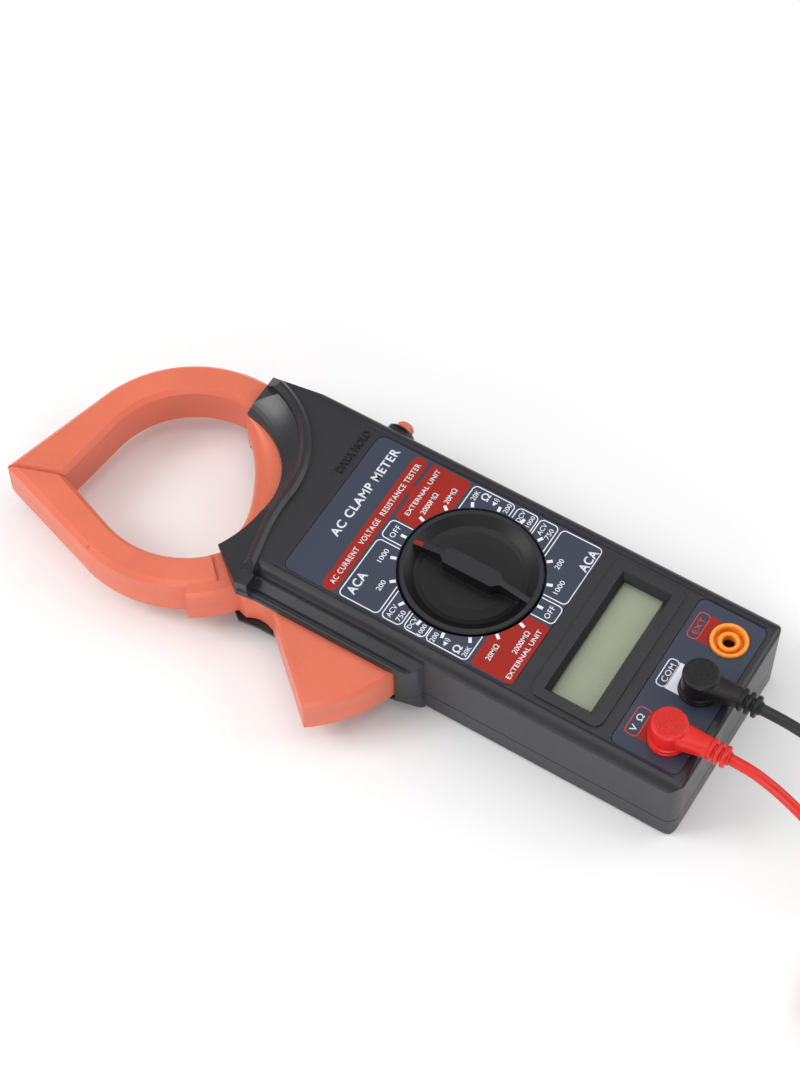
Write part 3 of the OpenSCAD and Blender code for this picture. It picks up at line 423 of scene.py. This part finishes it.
def coil_points(centre, start_deg, way):
    """Turns of the stored lead: inwards on the table, then outwards on top of those."""
    turns, low_turns, per_turn, inner = 6.25, 3, 16, 14
    low_z, high_z, climb = 1.8, 5.25, 0.7
    out = []
    for i in range(1, int(turns * per_turn)):
        t = i / per_turn
        r = inner + LEAD_D * abs(t - low_turns)
        z = low_z if t <= low_turns else high_z
        rise = (t - low_turns + climb / 2) / climb
        if 0 <= rise <= 1:
            z = low_z + (high_z - low_z) * (3 - 2 * rise) * rise * rise
            r = inner + 0.9 * (2 * rise - 1) ** 2
        a = math.radians(start_deg + way * 360 * t)
        out.append(Vector((centre[0] + r * math.cos(a), centre[1] + r * math.sin(a), z)))
    return out


def make_lead(name, route, tail, coil, start_deg, way, mat):
    """A lead from its plug along route, round its coil's turns, and along tail into its probe."""
    route = [Vector(p) for p in route]
    tail = [Vector(p) for p in tail]
    into = 9 if tail[-1].x > tail[-2].x else -9
    inside = [tail[-1] + Vector((into * k, 0, 0)) for k in range(1, 6)]
    points = catmull(route, 2) + coil_points(middle(coil), start_deg, way) + catmull(tail, 2) + inside
    curve = bpy.data.curves.new(name, "CURVE")
    curve.dimensions = "3D"
    curve.bevel_depth = LEAD_D / 2 * MM
    curve.bevel_resolution = 5
    curve.resolution_u = 4
    curve.use_fill_caps = True
    spline = curve.splines.new("BEZIER")
    spline.bezier_points.add(len(points) - 1)
    for knot, p in zip(spline.bezier_points, points):
        knot.co = p * MM
        knot.handle_left_type = knot.handle_right_type = "AUTO"
    obj = link(bpy.data.objects.new(name, curve))
    done(obj, "meter", mat)
    length = sum((b - a).length for a, b in zip(points, points[1:]))
    return obj, points, length


# The routes repeat the points of part.scad
RED_ROUTE = [(-19, -96.8, 36), (-19, -104, 35.4), (-19.3, -112, 32.8), (-19.6, -120, 28.2),
             (-19.6, -129, 21), (-19.6, -137, 13.8), (-19.6, -145, 7.3), (-19.6, -153, 3.2),
             (-19.5, -161, 1.9), (-19.5, -170, 1.8)]
RED_TAIL = [(-44, -195.4, 5.2), (-52, -195.6, 4.6), (-60, -197.6, 3), (-66, -202, 1.9),
            (-68, -208, 1.8), (-66.6, -213.6, 2), (-62, -217.6, 3), (-56, -219, 4.6), (-50, -219, 5.5)]
BLACK_ROUTE = [(0, -96.8, 36), (0, -105, 35.8), (0, -113, 34.2), (0.2, -121, 30.2), (0.4, -129, 23.2),
               (0.4, -136, 15.6), (0.4, -143, 8), (0.5, -149.6, 2.8), (0.5, -156, 1.8)]
BLACK_TAIL = [(25, -181.4, 5.2), (33, -181.6, 4.6), (41, -182.4, 3), (49, -184, 1.9),
              (56, -187.6, 1.8), (60, -193, 1.8), (60, -199, 2), (56.6, -204, 3.4), (51, -206, 5),
              (46, -206, 5.5)]

red_lead, red_points, red_len = make_lead(
    "red_test_lead", RED_ROUTE, RED_TAIL, "red_coil", 0, -1, "red_cable")
black_lead, black_points, black_len = make_lead(
    "black_test_lead", BLACK_ROUTE, BLACK_TAIL, "black_coil", 180, 1, "black_cable")
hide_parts("red_lead", "red_coil")
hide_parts("black_lead", "black_coil")


# Turned and lofted shapes
def lathe(name, profile, sides=64, axis="Z", at=(0, 0, 0)):
    """A closed turned solid from (radius, height) points, both ends on the axis or both open."""
    verts, faces, rings = [], [], []
    for r, h in profile:
        if r < 1e-6:
            rings.append([len(verts)])
            verts.append((0, 0, h))
        else:
            rings.append(list(range(len(verts), len(verts) + sides)))
            verts += [(r * math.cos(2 * math.pi * k / sides), r * math.sin(2 * math.pi * k / sides), h)
                      for k in range(sides)]
    for a, b in zip(rings, rings[1:]):
        for k in range(sides):
            m = (k + 1) % sides
            if len(a) == 1:
                faces.append((a[0], b[m], b[k]))
            elif len(b) == 1:
                faces.append((a[k], a[m], b[0]))
            else:
                faces.append((a[k], a[m], b[m], b[k]))
    turned = []
    for x, y, z in verts:
        if axis == "X":
            x, y, z = z, x, y
        elif axis == "-X":
            x, y, z = -z, -x, y
        elif axis == "-Y":
            x, y, z = x, -z, y
        turned.append((x + at[0], y + at[1], z + at[2]))
    return mesh_object(name, turned, faces, smooth=True)


def rounded(points, radius, steps=4):
    """A (radius, height) profile with each inner corner replaced by a short arc."""
    out = [points[0]]
    for a, b, c in zip(points, points[1:], points[2:]):
        a, b, c = Vector(a), Vector(b), Vector(c)
        r = min(radius, (a - b).length * 0.45, (c - b).length * 0.45)
        p, q = b + (a - b).normalized() * r, b + (c - b).normalized() * r
        for i in range(steps + 1):
            t = i / steps
            out.append(tuple(p * (1 - t) ** 2 + b * 2 * t * (1 - t) + q * t * t))
    return out + [points[-1]]


def box_mesh(lo, hi):
    """The corners and faces of a plain box."""
    x0, y0, z0 = lo
    x1, y1, z1 = hi
    verts = [(x0, y0, z0), (x1, y0, z0), (x1, y1, z0), (x0, y1, z0),
             (x0, y0, z1), (x1, y0, z1), (x1, y1, z1), (x0, y1, z1)]
    faces = [(0, 3, 2, 1), (4, 5, 6, 7), (0, 1, 5, 4), (1, 2, 6, 5), (2, 3, 7, 6), (3, 0, 4, 7)]
    return verts, faces


def join(objs, name):
    """Several mesh objects as one."""
    bm = bmesh.new()
    for o in objs:
        bm.from_mesh(o.data)
    mesh = bpy.data.meshes.new(name)
    bm.to_mesh(mesh)
    bm.free()
    for o in objs:
        bpy.data.objects.remove(o)
    return link(bpy.data.objects.new(name, mesh))


def soften(obj):
    """Smooth shading, with the edges kept where faces meet at more than 38 degrees."""
    for p in obj.data.polygons:
        p.use_smooth = True
    obj.data.set_sharp_from_angle(angle=math.radians(38))


# Printing on the labels: thin solids that stand on the printed face
def prism(name, outline, z0, z1):
    """A flat solid on a 2D outline, given anticlockwise."""
    count = len(outline)
    verts = [(x, y, z0) for x, y in outline] + [(x, y, z1) for x, y in outline]
    faces = [tuple(reversed(range(count))), tuple(range(count, 2 * count))]
    faces += [(k, (k + 1) % count, count + (k + 1) % count, count + k) for k in range(count)]
    return mesh_object(name, verts, faces)


def stroke(name, line, width, z0, z1):
    """A flat line of constant width along 2D points."""
    pts = [Vector(p) for p in line]
    left, right = [], []
    for i, p in enumerate(pts):
        before = (p - pts[i - 1]).normalized() if i else (pts[1] - p).normalized()
        after = (pts[i + 1] - p).normalized() if i + 1 < len(pts) else before
        mid = (before + after).normalized()
        side = Vector((-mid.y, mid.x)) * (width / 2 / max(0.5, mid.dot(after)))
        left.append(p + side)
        right.append(p - side)
    count = len(pts)
    verts = [(q.x, q.y, z) for z in (z0, z1) for q in right + left]
    faces = []
    for k in range(count - 1):
        a, b, c, d = k, k + 1, count + k + 1, count + k
        e = 2 * count
        faces += [(a, d, c, b), (e + a, e + b, e + c, e + d), (a, b, e + b, e + a), (d, e + d, e + c, c)]
    for k in (0, count - 1):
        faces.append((k, count + k, 3 * count + k, 2 * count + k))
    return mesh_object(name, verts, faces)


def round_rect(x0, x1, y0, y1, r, steps=6):
    """Corner-rounded rectangle as 2D points, anticlockwise from the lower right corner."""
    out = []
    corners = ((x1 - r, y0 + r, 270), (x1 - r, y1 - r, 0), (x0 + r, y1 - r, 90), (x0 + r, y0 + r, 180))
    for cx, cy, a in corners:
        for i in range(steps + 1):
            t = math.radians(a + 90 * i / steps)
            out.append((cx + r * math.cos(t), cy + r * math.sin(t)))
    return out


def outside_circle(line, radius):
    """Cuts a 2D line to the runs that lie outside a circle about the dial's centre."""
    fine = []
    for a, b in zip(line, line[1:]):
        a, b = Vector(a), Vector(b)
        steps = max(1, int((b - a).length / 0.1))
        fine += [a.lerp(b, i / steps) for i in range(steps)]
    fine.append(Vector(line[-1]))
    runs, run = [], []
    for p in fine:
        if p.length > radius:
            run.append(p)
        elif run:
            runs.append(run)
            run = []
    if run:
        runs.append(run)
    return [thin_line(r) for r in runs if len(r) > 3]


def thin_line(run):
    """Drops points that lie on the straight between their neighbours."""
    out = [run[0]]
    for p, q in zip(run[1:], run[2:]):
        d, e = (p - out[-1]).normalized(), (q - p).normalized()
        if d.dot(e) < 0.99999:
            out.append(p)
    return out + [run[-1]]


def lettering(words, x, y, cap, width, weight=0.012, spacing=1.0, top=PRINT_TOP, base=FACE):
    """Words as a flat solid, centred on x, y with that cap height and width in millimetres."""
    data = bpy.data.curves.new("text", "FONT")
    data.body = words
    data.size = 1.0
    data.resolution_u = 3
    data.space_character = spacing
    data.offset = weight
    data.align_x = "CENTER"
    obj = link(bpy.data.objects.new("text", data))
    bpy.context.view_layer.update()
    dg = bpy.context.evaluated_depsgraph_get()
    mesh = bpy.data.meshes.new_from_object(obj.evaluated_get(dg))
    bpy.data.objects.remove(obj)
    bm = bmesh.new()
    bm.from_mesh(mesh)
    bmesh.ops.remove_doubles(bm, verts=bm.verts, dist=0.0005)
    xs = [v.co.x for v in bm.verts]
    x_lo, x_hi = min(xs), max(xs)
    kx, ky = width / (x_hi - x_lo), cap / FONT_CAP
    for v in bm.verts:
        v.co = Vector((x + (v.co.x - (x_lo + x_hi) / 2) * kx, y + (v.co.y - FONT_CAP / 2) * ky, base)) * MM
    ext = bmesh.ops.extrude_face_region(bm, geom=list(bm.faces))
    for g in ext["geom"]:
        if isinstance(g, bmesh.types.BMVert):
            g.co.z = top * MM
    bmesh.ops.recalc_face_normals(bm, faces=bm.faces)
    bm.to_mesh(mesh)
    bm.free()
    return link(bpy.data.objects.new("words", mesh))


# What is printed in one ink is gathered here, and joined at the end
white, red_fill, red_lines = [], [], []


def selector_ticks(count=18, inner=22.85, outer=24.7, half=0.5):
    """A short white mark at each selector position."""
    corners = ((inner, -half), (outer, -half), (outer, half), (inner, half))
    for k in range(count):
        a = math.radians(90 + 360 / count * k)
        c, s = math.cos(a), math.sin(a)
        outline = [(c * r - s * w, s * r + c * w) for r, w in corners]
        white.append(prism("tick", outline, FACE, PRINT_TOP))


selector_ticks()

# Outlined zones round the dial: left, right, lower and upper limit
ZONES = [(-3.3, 3.5, 10, 29.9), (-27.3, -4.5, 16.1, 29.9), (-27.3, -10, 8.3, 15), (-27.3, -10, 0.3, 7.3),
         (-27.3, -10, -14.4, -0.3), (10, 27.2, 0.4, 14.8), (10, 27.2, -7.8, -0.7), (10, 27.2, -14.8, -8.6),
         (4.4, 27.2, -30, -16), (-3.4, 3.2, -30, -10)]
for zone in ZONES:
    path = round_rect(*zone, 1.5)
    for run in outside_circle(path + path[:1], PRINT_EDGE):
        white.append(stroke("outline", run, OUTLINE, FACE, PRINT_TOP))


def red_zone(x0, x1, y0, y1, up):
    """A filled zone with rounded outer corners that follows the knob's circle on its inner side."""
    r, count = 1.4, 48
    top, low = [], []
    for i in range(count + 1):
        x = x0 + (x1 - x0) * i / count
        d = max(0.0, r - min(x - x0, x1 - x))
        pull = r - math.sqrt(max(0.0, r * r - d * d))
        arc = math.sqrt(max(0.0, PRINT_EDGE ** 2 - x * x))
        if up > 0:
            top.append((x, y1 - pull))
            low.append((x, min(y1 - pull - 0.01, max(y0 + pull, arc))))
        else:
            low.append((x, y0 + pull))
            top.append((x, max(y0 + pull + 0.01, min(y1 - pull, -arc))))
    return prism("zone", low + top[::-1], FACE, FILL_TOP)


red_fill.append(red_zone(4.2, 27.3, 16, 29.8, 1))
red_fill.append(red_zone(-27.5, -4.5, -30, -15.8, -1))
red_fill.append(prism("strip", round_rect(-27.8, 27.3, 31, 36, 2.4), FACE, FILL_TOP))
red_fill.append(prism("bridge", [(14, 29.5), (17, 29.5), (17, 31.3), (14, 31.3)], FACE, FILL_TOP - 0.005))

# White words: the text, its middle, its cap height and its width
WORDS = [("AC CLAMP METER", 7.5, 42.2, 3.0, 36.5),
         ("AC CURRENT  VOLTAGE  RESISTANCE TESTER", -0.3, 33.5, 1.9, 50),
         ("EXTERNAL UNIT", 16.5, 27.1, 1.6, 19), ("2000MΩ", 14.1, 23.3, 1.7, 8.6),
         ("20MΩ", 19.8, 19.2, 1.7, 6.0), ("ACA", -21.3, 27.1, 3.0, 8.2), ("1000", -9, 25.5, 1.7, 5.0),
         ("200", -18.3, 20.5, 1.7, 3.8), ("OFF", 0.1, 26.9, 1.9, 4.6), ("ACV", -24.1, 13.1, 1.8, 4.6),
         ("750", -24.2, 9.9, 1.7, 3.9), ("DCV", -24.5, 5.8, 1.6, 4.2), ("1000", -25, 2.1, 1.5, 4.0),
         ("200", -25.2, -2.3, 1.6, 3.4), ("Ω", -25.1, -10.1, 2.5, 2.7), ("20K", -24.4, -12.9, 1.6, 3.8),
         ("20MΩ", -20.7, -19.5, 1.7, 6.0), ("2000MΩ", -13.4, -25, 1.7, 8.6),
         ("EXTERNAL UNIT", -16.4, -27.8, 1.6, 19), ("OFF", -0.1, -27, 1.9, 4.6),
         ("1000", 8.9, -25.1, 1.7, 5.0), ("200", 16, -21.1, 1.7, 3.8), ("ACA", 21.5, -27.9, 3.0, 8.2),
         ("ACV", 24, -10.5, 1.7, 4.5), ("750", 23.6, -13.2, 1.6, 3.8), ("DCV", 24.6, -2.7, 1.6, 4.2),
         ("1000", 24.5, -6.1, 1.5, 4.2), ("20K", 24, 12.9, 1.7, 3.9), ("Ω", 25.1, 9.9, 2.5, 2.7),
         ("200", 24.9, 2.2, 1.6, 3.6),
         ("V", -20.9, -67, 2.1, 2.2), ("Ω", -16.9, -67, 2.1, 2.3), ("COM", 0.3, -66.8, 2.0, 6.6)]
for words, x, y, cap, width in WORDS:
    weight = 0.022 if cap > 2.2 else 0.01
    spacing = 1.12 if cap > 1.8 else 1.0
    white.append(lettering(words, x, y, cap, width, weight, spacing))


def beeper(x, y, way):
    """Small loudspeaker with two sound waves; way is 1 or -1 for the side that it faces."""
    body = [(-1.1, -0.35), (-0.5, -0.35), (0.1, -0.9), (0.1, 0.9), (-0.5, 0.35), (-1.1, 0.35)]
    white.append(prism("horn", [(x + way * u, y + v) for u, v in body][::way], FACE, PRINT_TOP))
    for r in (0.8, 1.4):
        arc = [(x + way * r * math.cos(math.radians(a)), y + r * math.sin(math.radians(a)))
               for a in range(-45, 46, 15)]
        white.append(stroke("wave", arc, 0.22, FACE, PRINT_TOP))


beeper(-25, -6.2, 1)
beeper(24.8, 6.4, 1)


# Jack panel
def jack_mark(jack_x, x0, x1, y0, lines, width, band, band_top):
    """An outlined name over a jack, and the colour band from it down to the jack's round collar."""
    line = round_rect(x0, x1, y0, -65, 1.3)
    lines.append(stroke("panel_line", line + line[:2], width, FACE, PRINT_TOP))
    r, count = 6.15, 24
    top = [(x0 + (x1 - x0) * i / count, y0) for i in range(count + 1)]
    low = []
    for x, _ in top:
        d = abs(x - jack_x)
        low.append((x, JACK_Y + (math.sqrt(r * r - d * d) if d < r else 0.1)))
    band.append(prism("band", low + top[::-1], FACE, band_top))


jack_mark(-JACK_PITCH, -23.3, -13.5, -69.2, red_lines, 0.28, red_fill, FILL_TOP)
jack_mark(JACK_PITCH, 14.2, 23.8, -68.6, red_lines, 0.28, red_fill, FILL_TOP)
jack_mark(0, -4.7, 5.2, -68.3, white, OUTLINE, white, PRINT_TOP)
red_lines.append(lettering("EXT", JACK_PITCH, -66.8, 1.9, 6.0))

done(join(white, "white_print"), "meter", "white_ink")
done(join(red_fill, "red_print"), "meter", "red_ink")
done(join(red_lines, "red_line_print"), "meter", "red_line")

# Raised moulded words in the pocket over the dial
hold_words = lettering("DATA HOLD", 18.2, 53.2, 2.3, 17.5, weight=0.02, base=DECK - 0.32, top=DECK - 0.02)
hold_words.name = "moulded_words"
done(hold_words, "meter", "knob")


# Knob: red pointer mark let into the end of the grip
def pointer_mark():
    half, inner, outer = 0.72, 16.9, 19.9
    mark = prism("pointer_mark", [(-half, inner), (half, inner), (half, outer), (-half, outer)], 0, 1)
    # The grip's top slopes down from radius r0 and height z0 to radius r1 and height z1
    r0, z0 = 10.6, top_of("selector_knob") - 0.2
    r1, z1 = 20.2, FACE + 0.4
    for v in mark.data.vertices:
        slope = z0 - (v.co.y / MM - r0) * (z0 - z1) / (r1 - r0)
        v.co.z = (slope + 0.03 if v.co.z > 0 else slope - 0.5) * MM
    done(mark, "knob", "red_ink")


pointer_mark()


# Cradle lining: the CAD lining's form, smooth. The ring is the jaws', and the cradle is the case's.
def liner():
    ring, ring_in = (-10.5, 95.0), 30.0
    cradle, cradle_r = (-11.5, 93.0), 27.5
    half_t, mid = 8.0, FACE / 2
    start_deg, end_deg, swell_max = -8.0, -128.0, 8.8
    count, sides = 96, 28
    dx, dy = cradle[0] - ring[0], cradle[1] - ring[1]
    verts, faces = [], []
    size = sides + 3
    for i in range(count + 1):
        t = i / count
        a = math.radians(start_deg + (end_deg - start_deg) * t)
        ca, sa = math.cos(a), math.sin(a)
        du = dx * ca + dy * sa
        edge = du + math.sqrt(cradle_r ** 2 - (dx * dx + dy * dy) + du * du)
        back = max(edge + 1.2, ring_in - 0.1)
        swell = 0.4 + swell_max * max(0.0, math.sin(math.pi * t)) ** 0.8
        row = []
        for k in range(sides + 1):
            v = math.radians(-90 + 180 * k / sides)
            r = edge - swell * math.cos(v)
            row.append((ring[0] + r * ca, ring[1] + r * sa, mid + half_t * math.sin(v)))
        for z in (mid + half_t, mid - half_t):
            row.append((ring[0] + back * ca, ring[1] + back * sa, z))
        verts += row
    for i in range(count):
        for k in range(size):
            m = (k + 1) % size
            faces.append((i * size + k, i * size + m, (i + 1) * size + m, (i + 1) * size + k))
    faces.append(tuple(range(size)))
    faces.append(tuple(count * size + k for k in reversed(range(size))))
    obj = mesh_object("cradle_lining", verts, faces, smooth=True)
    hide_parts("cradle_liner")
    return done(obj, "meter", "orange")


liner()


# Plugs
def knurl(x, y, z, radius, name):
    """Fine grid of raised squares on a round top."""
    pitch, half = 0.72, 0.24
    verts, faces = [], []
    n = int(radius / pitch) + 1
    for i in range(-n, n + 1):
        for j in range(-n, n + 1):
            cx, cy = i * pitch, j * pitch
            if math.hypot(cx, cy) > radius - 0.4:
                continue
            b = len(verts)
            for w, h in ((half, z - 0.1), (half * 0.7, z + 0.16)):
                verts += [(x + cx + sx * w, y + cy + sy * w, h)
                          for sx, sy in ((-1, -1), (1, -1), (1, 1), (-1, 1))]
            faces += [(b, b + 3, b + 2, b + 1), (b + 4, b + 5, b + 6, b + 7)]
            faces += [(b + k, b + (k + 1) % 4, b + 4 + (k + 1) % 4, b + 4 + k) for k in range(4)]
    return mesh_object(name, verts, faces)


def loft(name, sections):
    """Smooth skin over sections of equal point count, closed at both ends."""
    verts = [p for s in sections for p in s]
    n = len(sections[0])
    faces = []
    for i in range(len(sections) - 1):
        for k in range(n):
            m = (k + 1) % n
            faces.append((i * n + k, i * n + m, (i + 1) * n + m, (i + 1) * n + k))
    faces.append(tuple(reversed(range(n))))
    faces.append(tuple((len(sections) - 1) * n + k for k in range(n)))
    return mesh_object(name, verts, faces, smooth=True)


def squircle(cx, cz, w, h, y, power=3.2, count=32):
    """A rounded section across Y, w wide and h high."""
    out = []
    for k in range(count):
        a = 2 * math.pi * k / count
        c, s = math.cos(a), math.sin(a)
        r = (abs(c) ** power + abs(s) ** power) ** (-1 / power)
        out.append((cx + w / 2 * r * c, y, cz + h / 2 * r * s))
    return out


def make_plug(x, name, mat, cad):
    """A right-angled plug: turned head with a knurled top, tapered neck and three ribs round the lead."""
    low, high = 30.2, 38.6
    outline = [(0, low), (5.9, low), (5.9, low + 1.1), (5.45, low + 1.5), (5.55, high - 0.5), (5.2, high),
               (0, high)]
    head = lathe("head", rounded(outline, 0.45), at=(x, JACK_Y, 0))
    # The neck's sections: distance from the jack, width, height and the height of its middle
    shape = [(-3.2, 8.2, 7.0, 34.6), (-6.0, 7.6, 6.8, 34.8), (-9.4, 6.6, 6.2, 35.4), (-12.6, 5.9, 5.7, 35.9),
             (-13.4, 5.6, 5.4, LEAD_Z)]
    neck = loft("neck", [squircle(x, z, w, h, JACK_Y + y) for y, w, h, z in shape])
    core = lathe("core", [(0, 12.4), (2.45, 12.4), (2.3, 17), (2.1, 19.8), (0, 19.8)], 32, "-Y",
                 (x, JACK_Y, LEAD_Z))
    ribs = []
    for k in range(3):
        y = JACK_Y - 13.2 - k * 2.2
        w = 6.5 - 0.15 * k
        sections = ((0, w - 0.5), (0.25, w), (1.15, w), (1.4, w - 0.5))
        ribs.append(loft("rib", [squircle(x, LEAD_Z, size, size, y - back) for back, size in sections]))
    grid = knurl(x, JACK_Y, high, 5.0, "grid")
    plug = join([head, neck, core, *ribs, grid], name)
    soften(plug)
    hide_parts(cad)
    return done(plug, "meter", mat)


red_plug = make_plug(-JACK_PITCH, "red_lead_plug", "red", "red_plug")
black_plug = make_plug(0, "black_lead_plug", "grip", "black_plug")


# Probes
def make_probe(way, name, mat, cad):
    """A probe handle along X, from its bend relief to its tip, with grip rings round it."""
    axis = "X" if way > 0 else "-X"
    low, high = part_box(cad)
    start = low.x if way > 0 else high.x
    at = (round(start / MM, 1), middle(cad)[1], PROBE_Z)
    outline = [(0, 0), (2.1, 0), (2.3, 1.2), (2.5, 9.4), (4.3, 9.8), (5.2, 12.6), (5.45, 16), (5.4, 22),
               (4.6, 33), (4.2, 50), (4.2, 70), (4.4, 76.2), (5.4, 77), (5.4, 79.2), (3.9, 80.4),
               (3.4, 81), (2.6, 86), (2.1, 90), (0, 90)]
    parts = [lathe("handle", rounded(outline, 0.5), 64, axis, at)]
    for k in range(12):
        h = 36 + 2.6 * k
        ring = [(3.6, h), (4.55, h + 0.3), (4.62, h + 0.75), (4.55, h + 1.2), (3.6, h + 1.5)]
        parts.append(lathe("rib", ring, 48, axis, at))
    for k in range(4):
        h = 1.0 + 2.1 * k
        ring = [(2.0, h), (2.75, h + 0.2), (2.85, h + 1.0), (2.0, h + 1.2)]
        parts.append(lathe("bend_rib", ring, 40, axis, at))
    probe = join(parts, name)
    soften(probe)
    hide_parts(cad)
    return done(probe, "meter", mat)


red_probe = make_probe(1, "red_lead_probe", "red", "red_probe")
black_probe = make_probe(-1, "black_lead_probe", "grip", "black_probe")


# Coil ties: a flat band round the turns of each stored coil
def coil_tie(name, coil, angle):
    a = math.radians(angle)
    out, side = Vector((math.cos(a), math.sin(a), 0)), Vector((-math.sin(a), math.cos(a), 0))
    up = Vector((0, 0, 1))
    x, y, _ = middle(coil)
    turns = Vector((x, y, 0)) + out * 19.7
    half_w, half_h, mid_z, band_w, band_t, count = 7.55, 3.62, 3.72, 3.0, 0.5, 40
    verts, faces = [], []
    for k in range(count):
        t = 2 * math.pi * k / count
        c, s = math.cos(t), math.sin(t)
        r = (abs(c) ** 5 + abs(s) ** 5) ** (-1 / 5)
        p = turns + out * half_w * r * c + up * (mid_z + half_h * r * s)
        outward = (p - turns - up * 3.6).normalized()
        for w, d in ((-0.5, 0), (0.5, 0), (0.5, -1), (-0.5, -1)):
            corner = p + side * band_w * w + outward * band_t * d
            verts.append((corner.x, corner.y, max(0.05, corner.z)))
    for i in range(count):
        j = (i + 1) % count
        for k in range(4):
            m = (k + 1) % 4
            faces.append((i * 4 + k, i * 4 + m, j * 4 + m, j * 4 + k))
    return done(mesh_object(name, verts, faces, smooth=True), "meter", "small_black")


coil_tie("red_coil_tie", "red_coil", 120)
coil_tie("black_coil_tie", "black_coil", 30)


# Floor and light
def make_stage():
    verts, faces = box_mesh((-3000, -3000, -12), (3000, 3000, -0.02))
    floor = mesh_object("floor", verts, faces)
    n = Nodes("floor")
    n.join(n.mix(n.span(n.noise(6, 2), 0.3, 0.7), (0.86, 0.86, 0.86, 1), (0.9, 0.9, 0.9, 1)),
           n.shader.inputs["Base Color"])
    n.shader.inputs["Roughness"].default_value = 0.7
    floor.data.materials.append(n.mat)
    world = bpy.data.worlds.new("world")
    scene.world = world
    world.use_nodes = True
    world.node_tree.nodes["Background"].inputs["Color"].default_value = (1, 1, 1, 1)
    world.node_tree.nodes["Background"].inputs["Strength"].default_value = 0.5
    # Soft boxes aimed at the dial: place and size in metres, power in watts
    lamps = (("key", (-0.7, 1.1, 1.2), 0.8, 14), ("fill", (1.0, -1.0, 0.9), 1.2, 9),
             ("top", (0.1, 0.1, 1.9), 1.6, 9), ("side", (-1.2, -0.6, 0.4), 0.9, 7))
    for name, at, size, power in lamps:
        light = bpy.data.lights.new(name, "AREA")
        light.size, light.energy = size, power
        obj = link(bpy.data.objects.new(name, light))
        obj.location = at
        obj.rotation_mode = "QUATERNION"
        obj.rotation_quaternion = (Vector((0, 0, 0)) - Vector(at)).to_track_quat("-Z", "Y")


make_stage()
scene.view_settings.view_transform = "Standard"
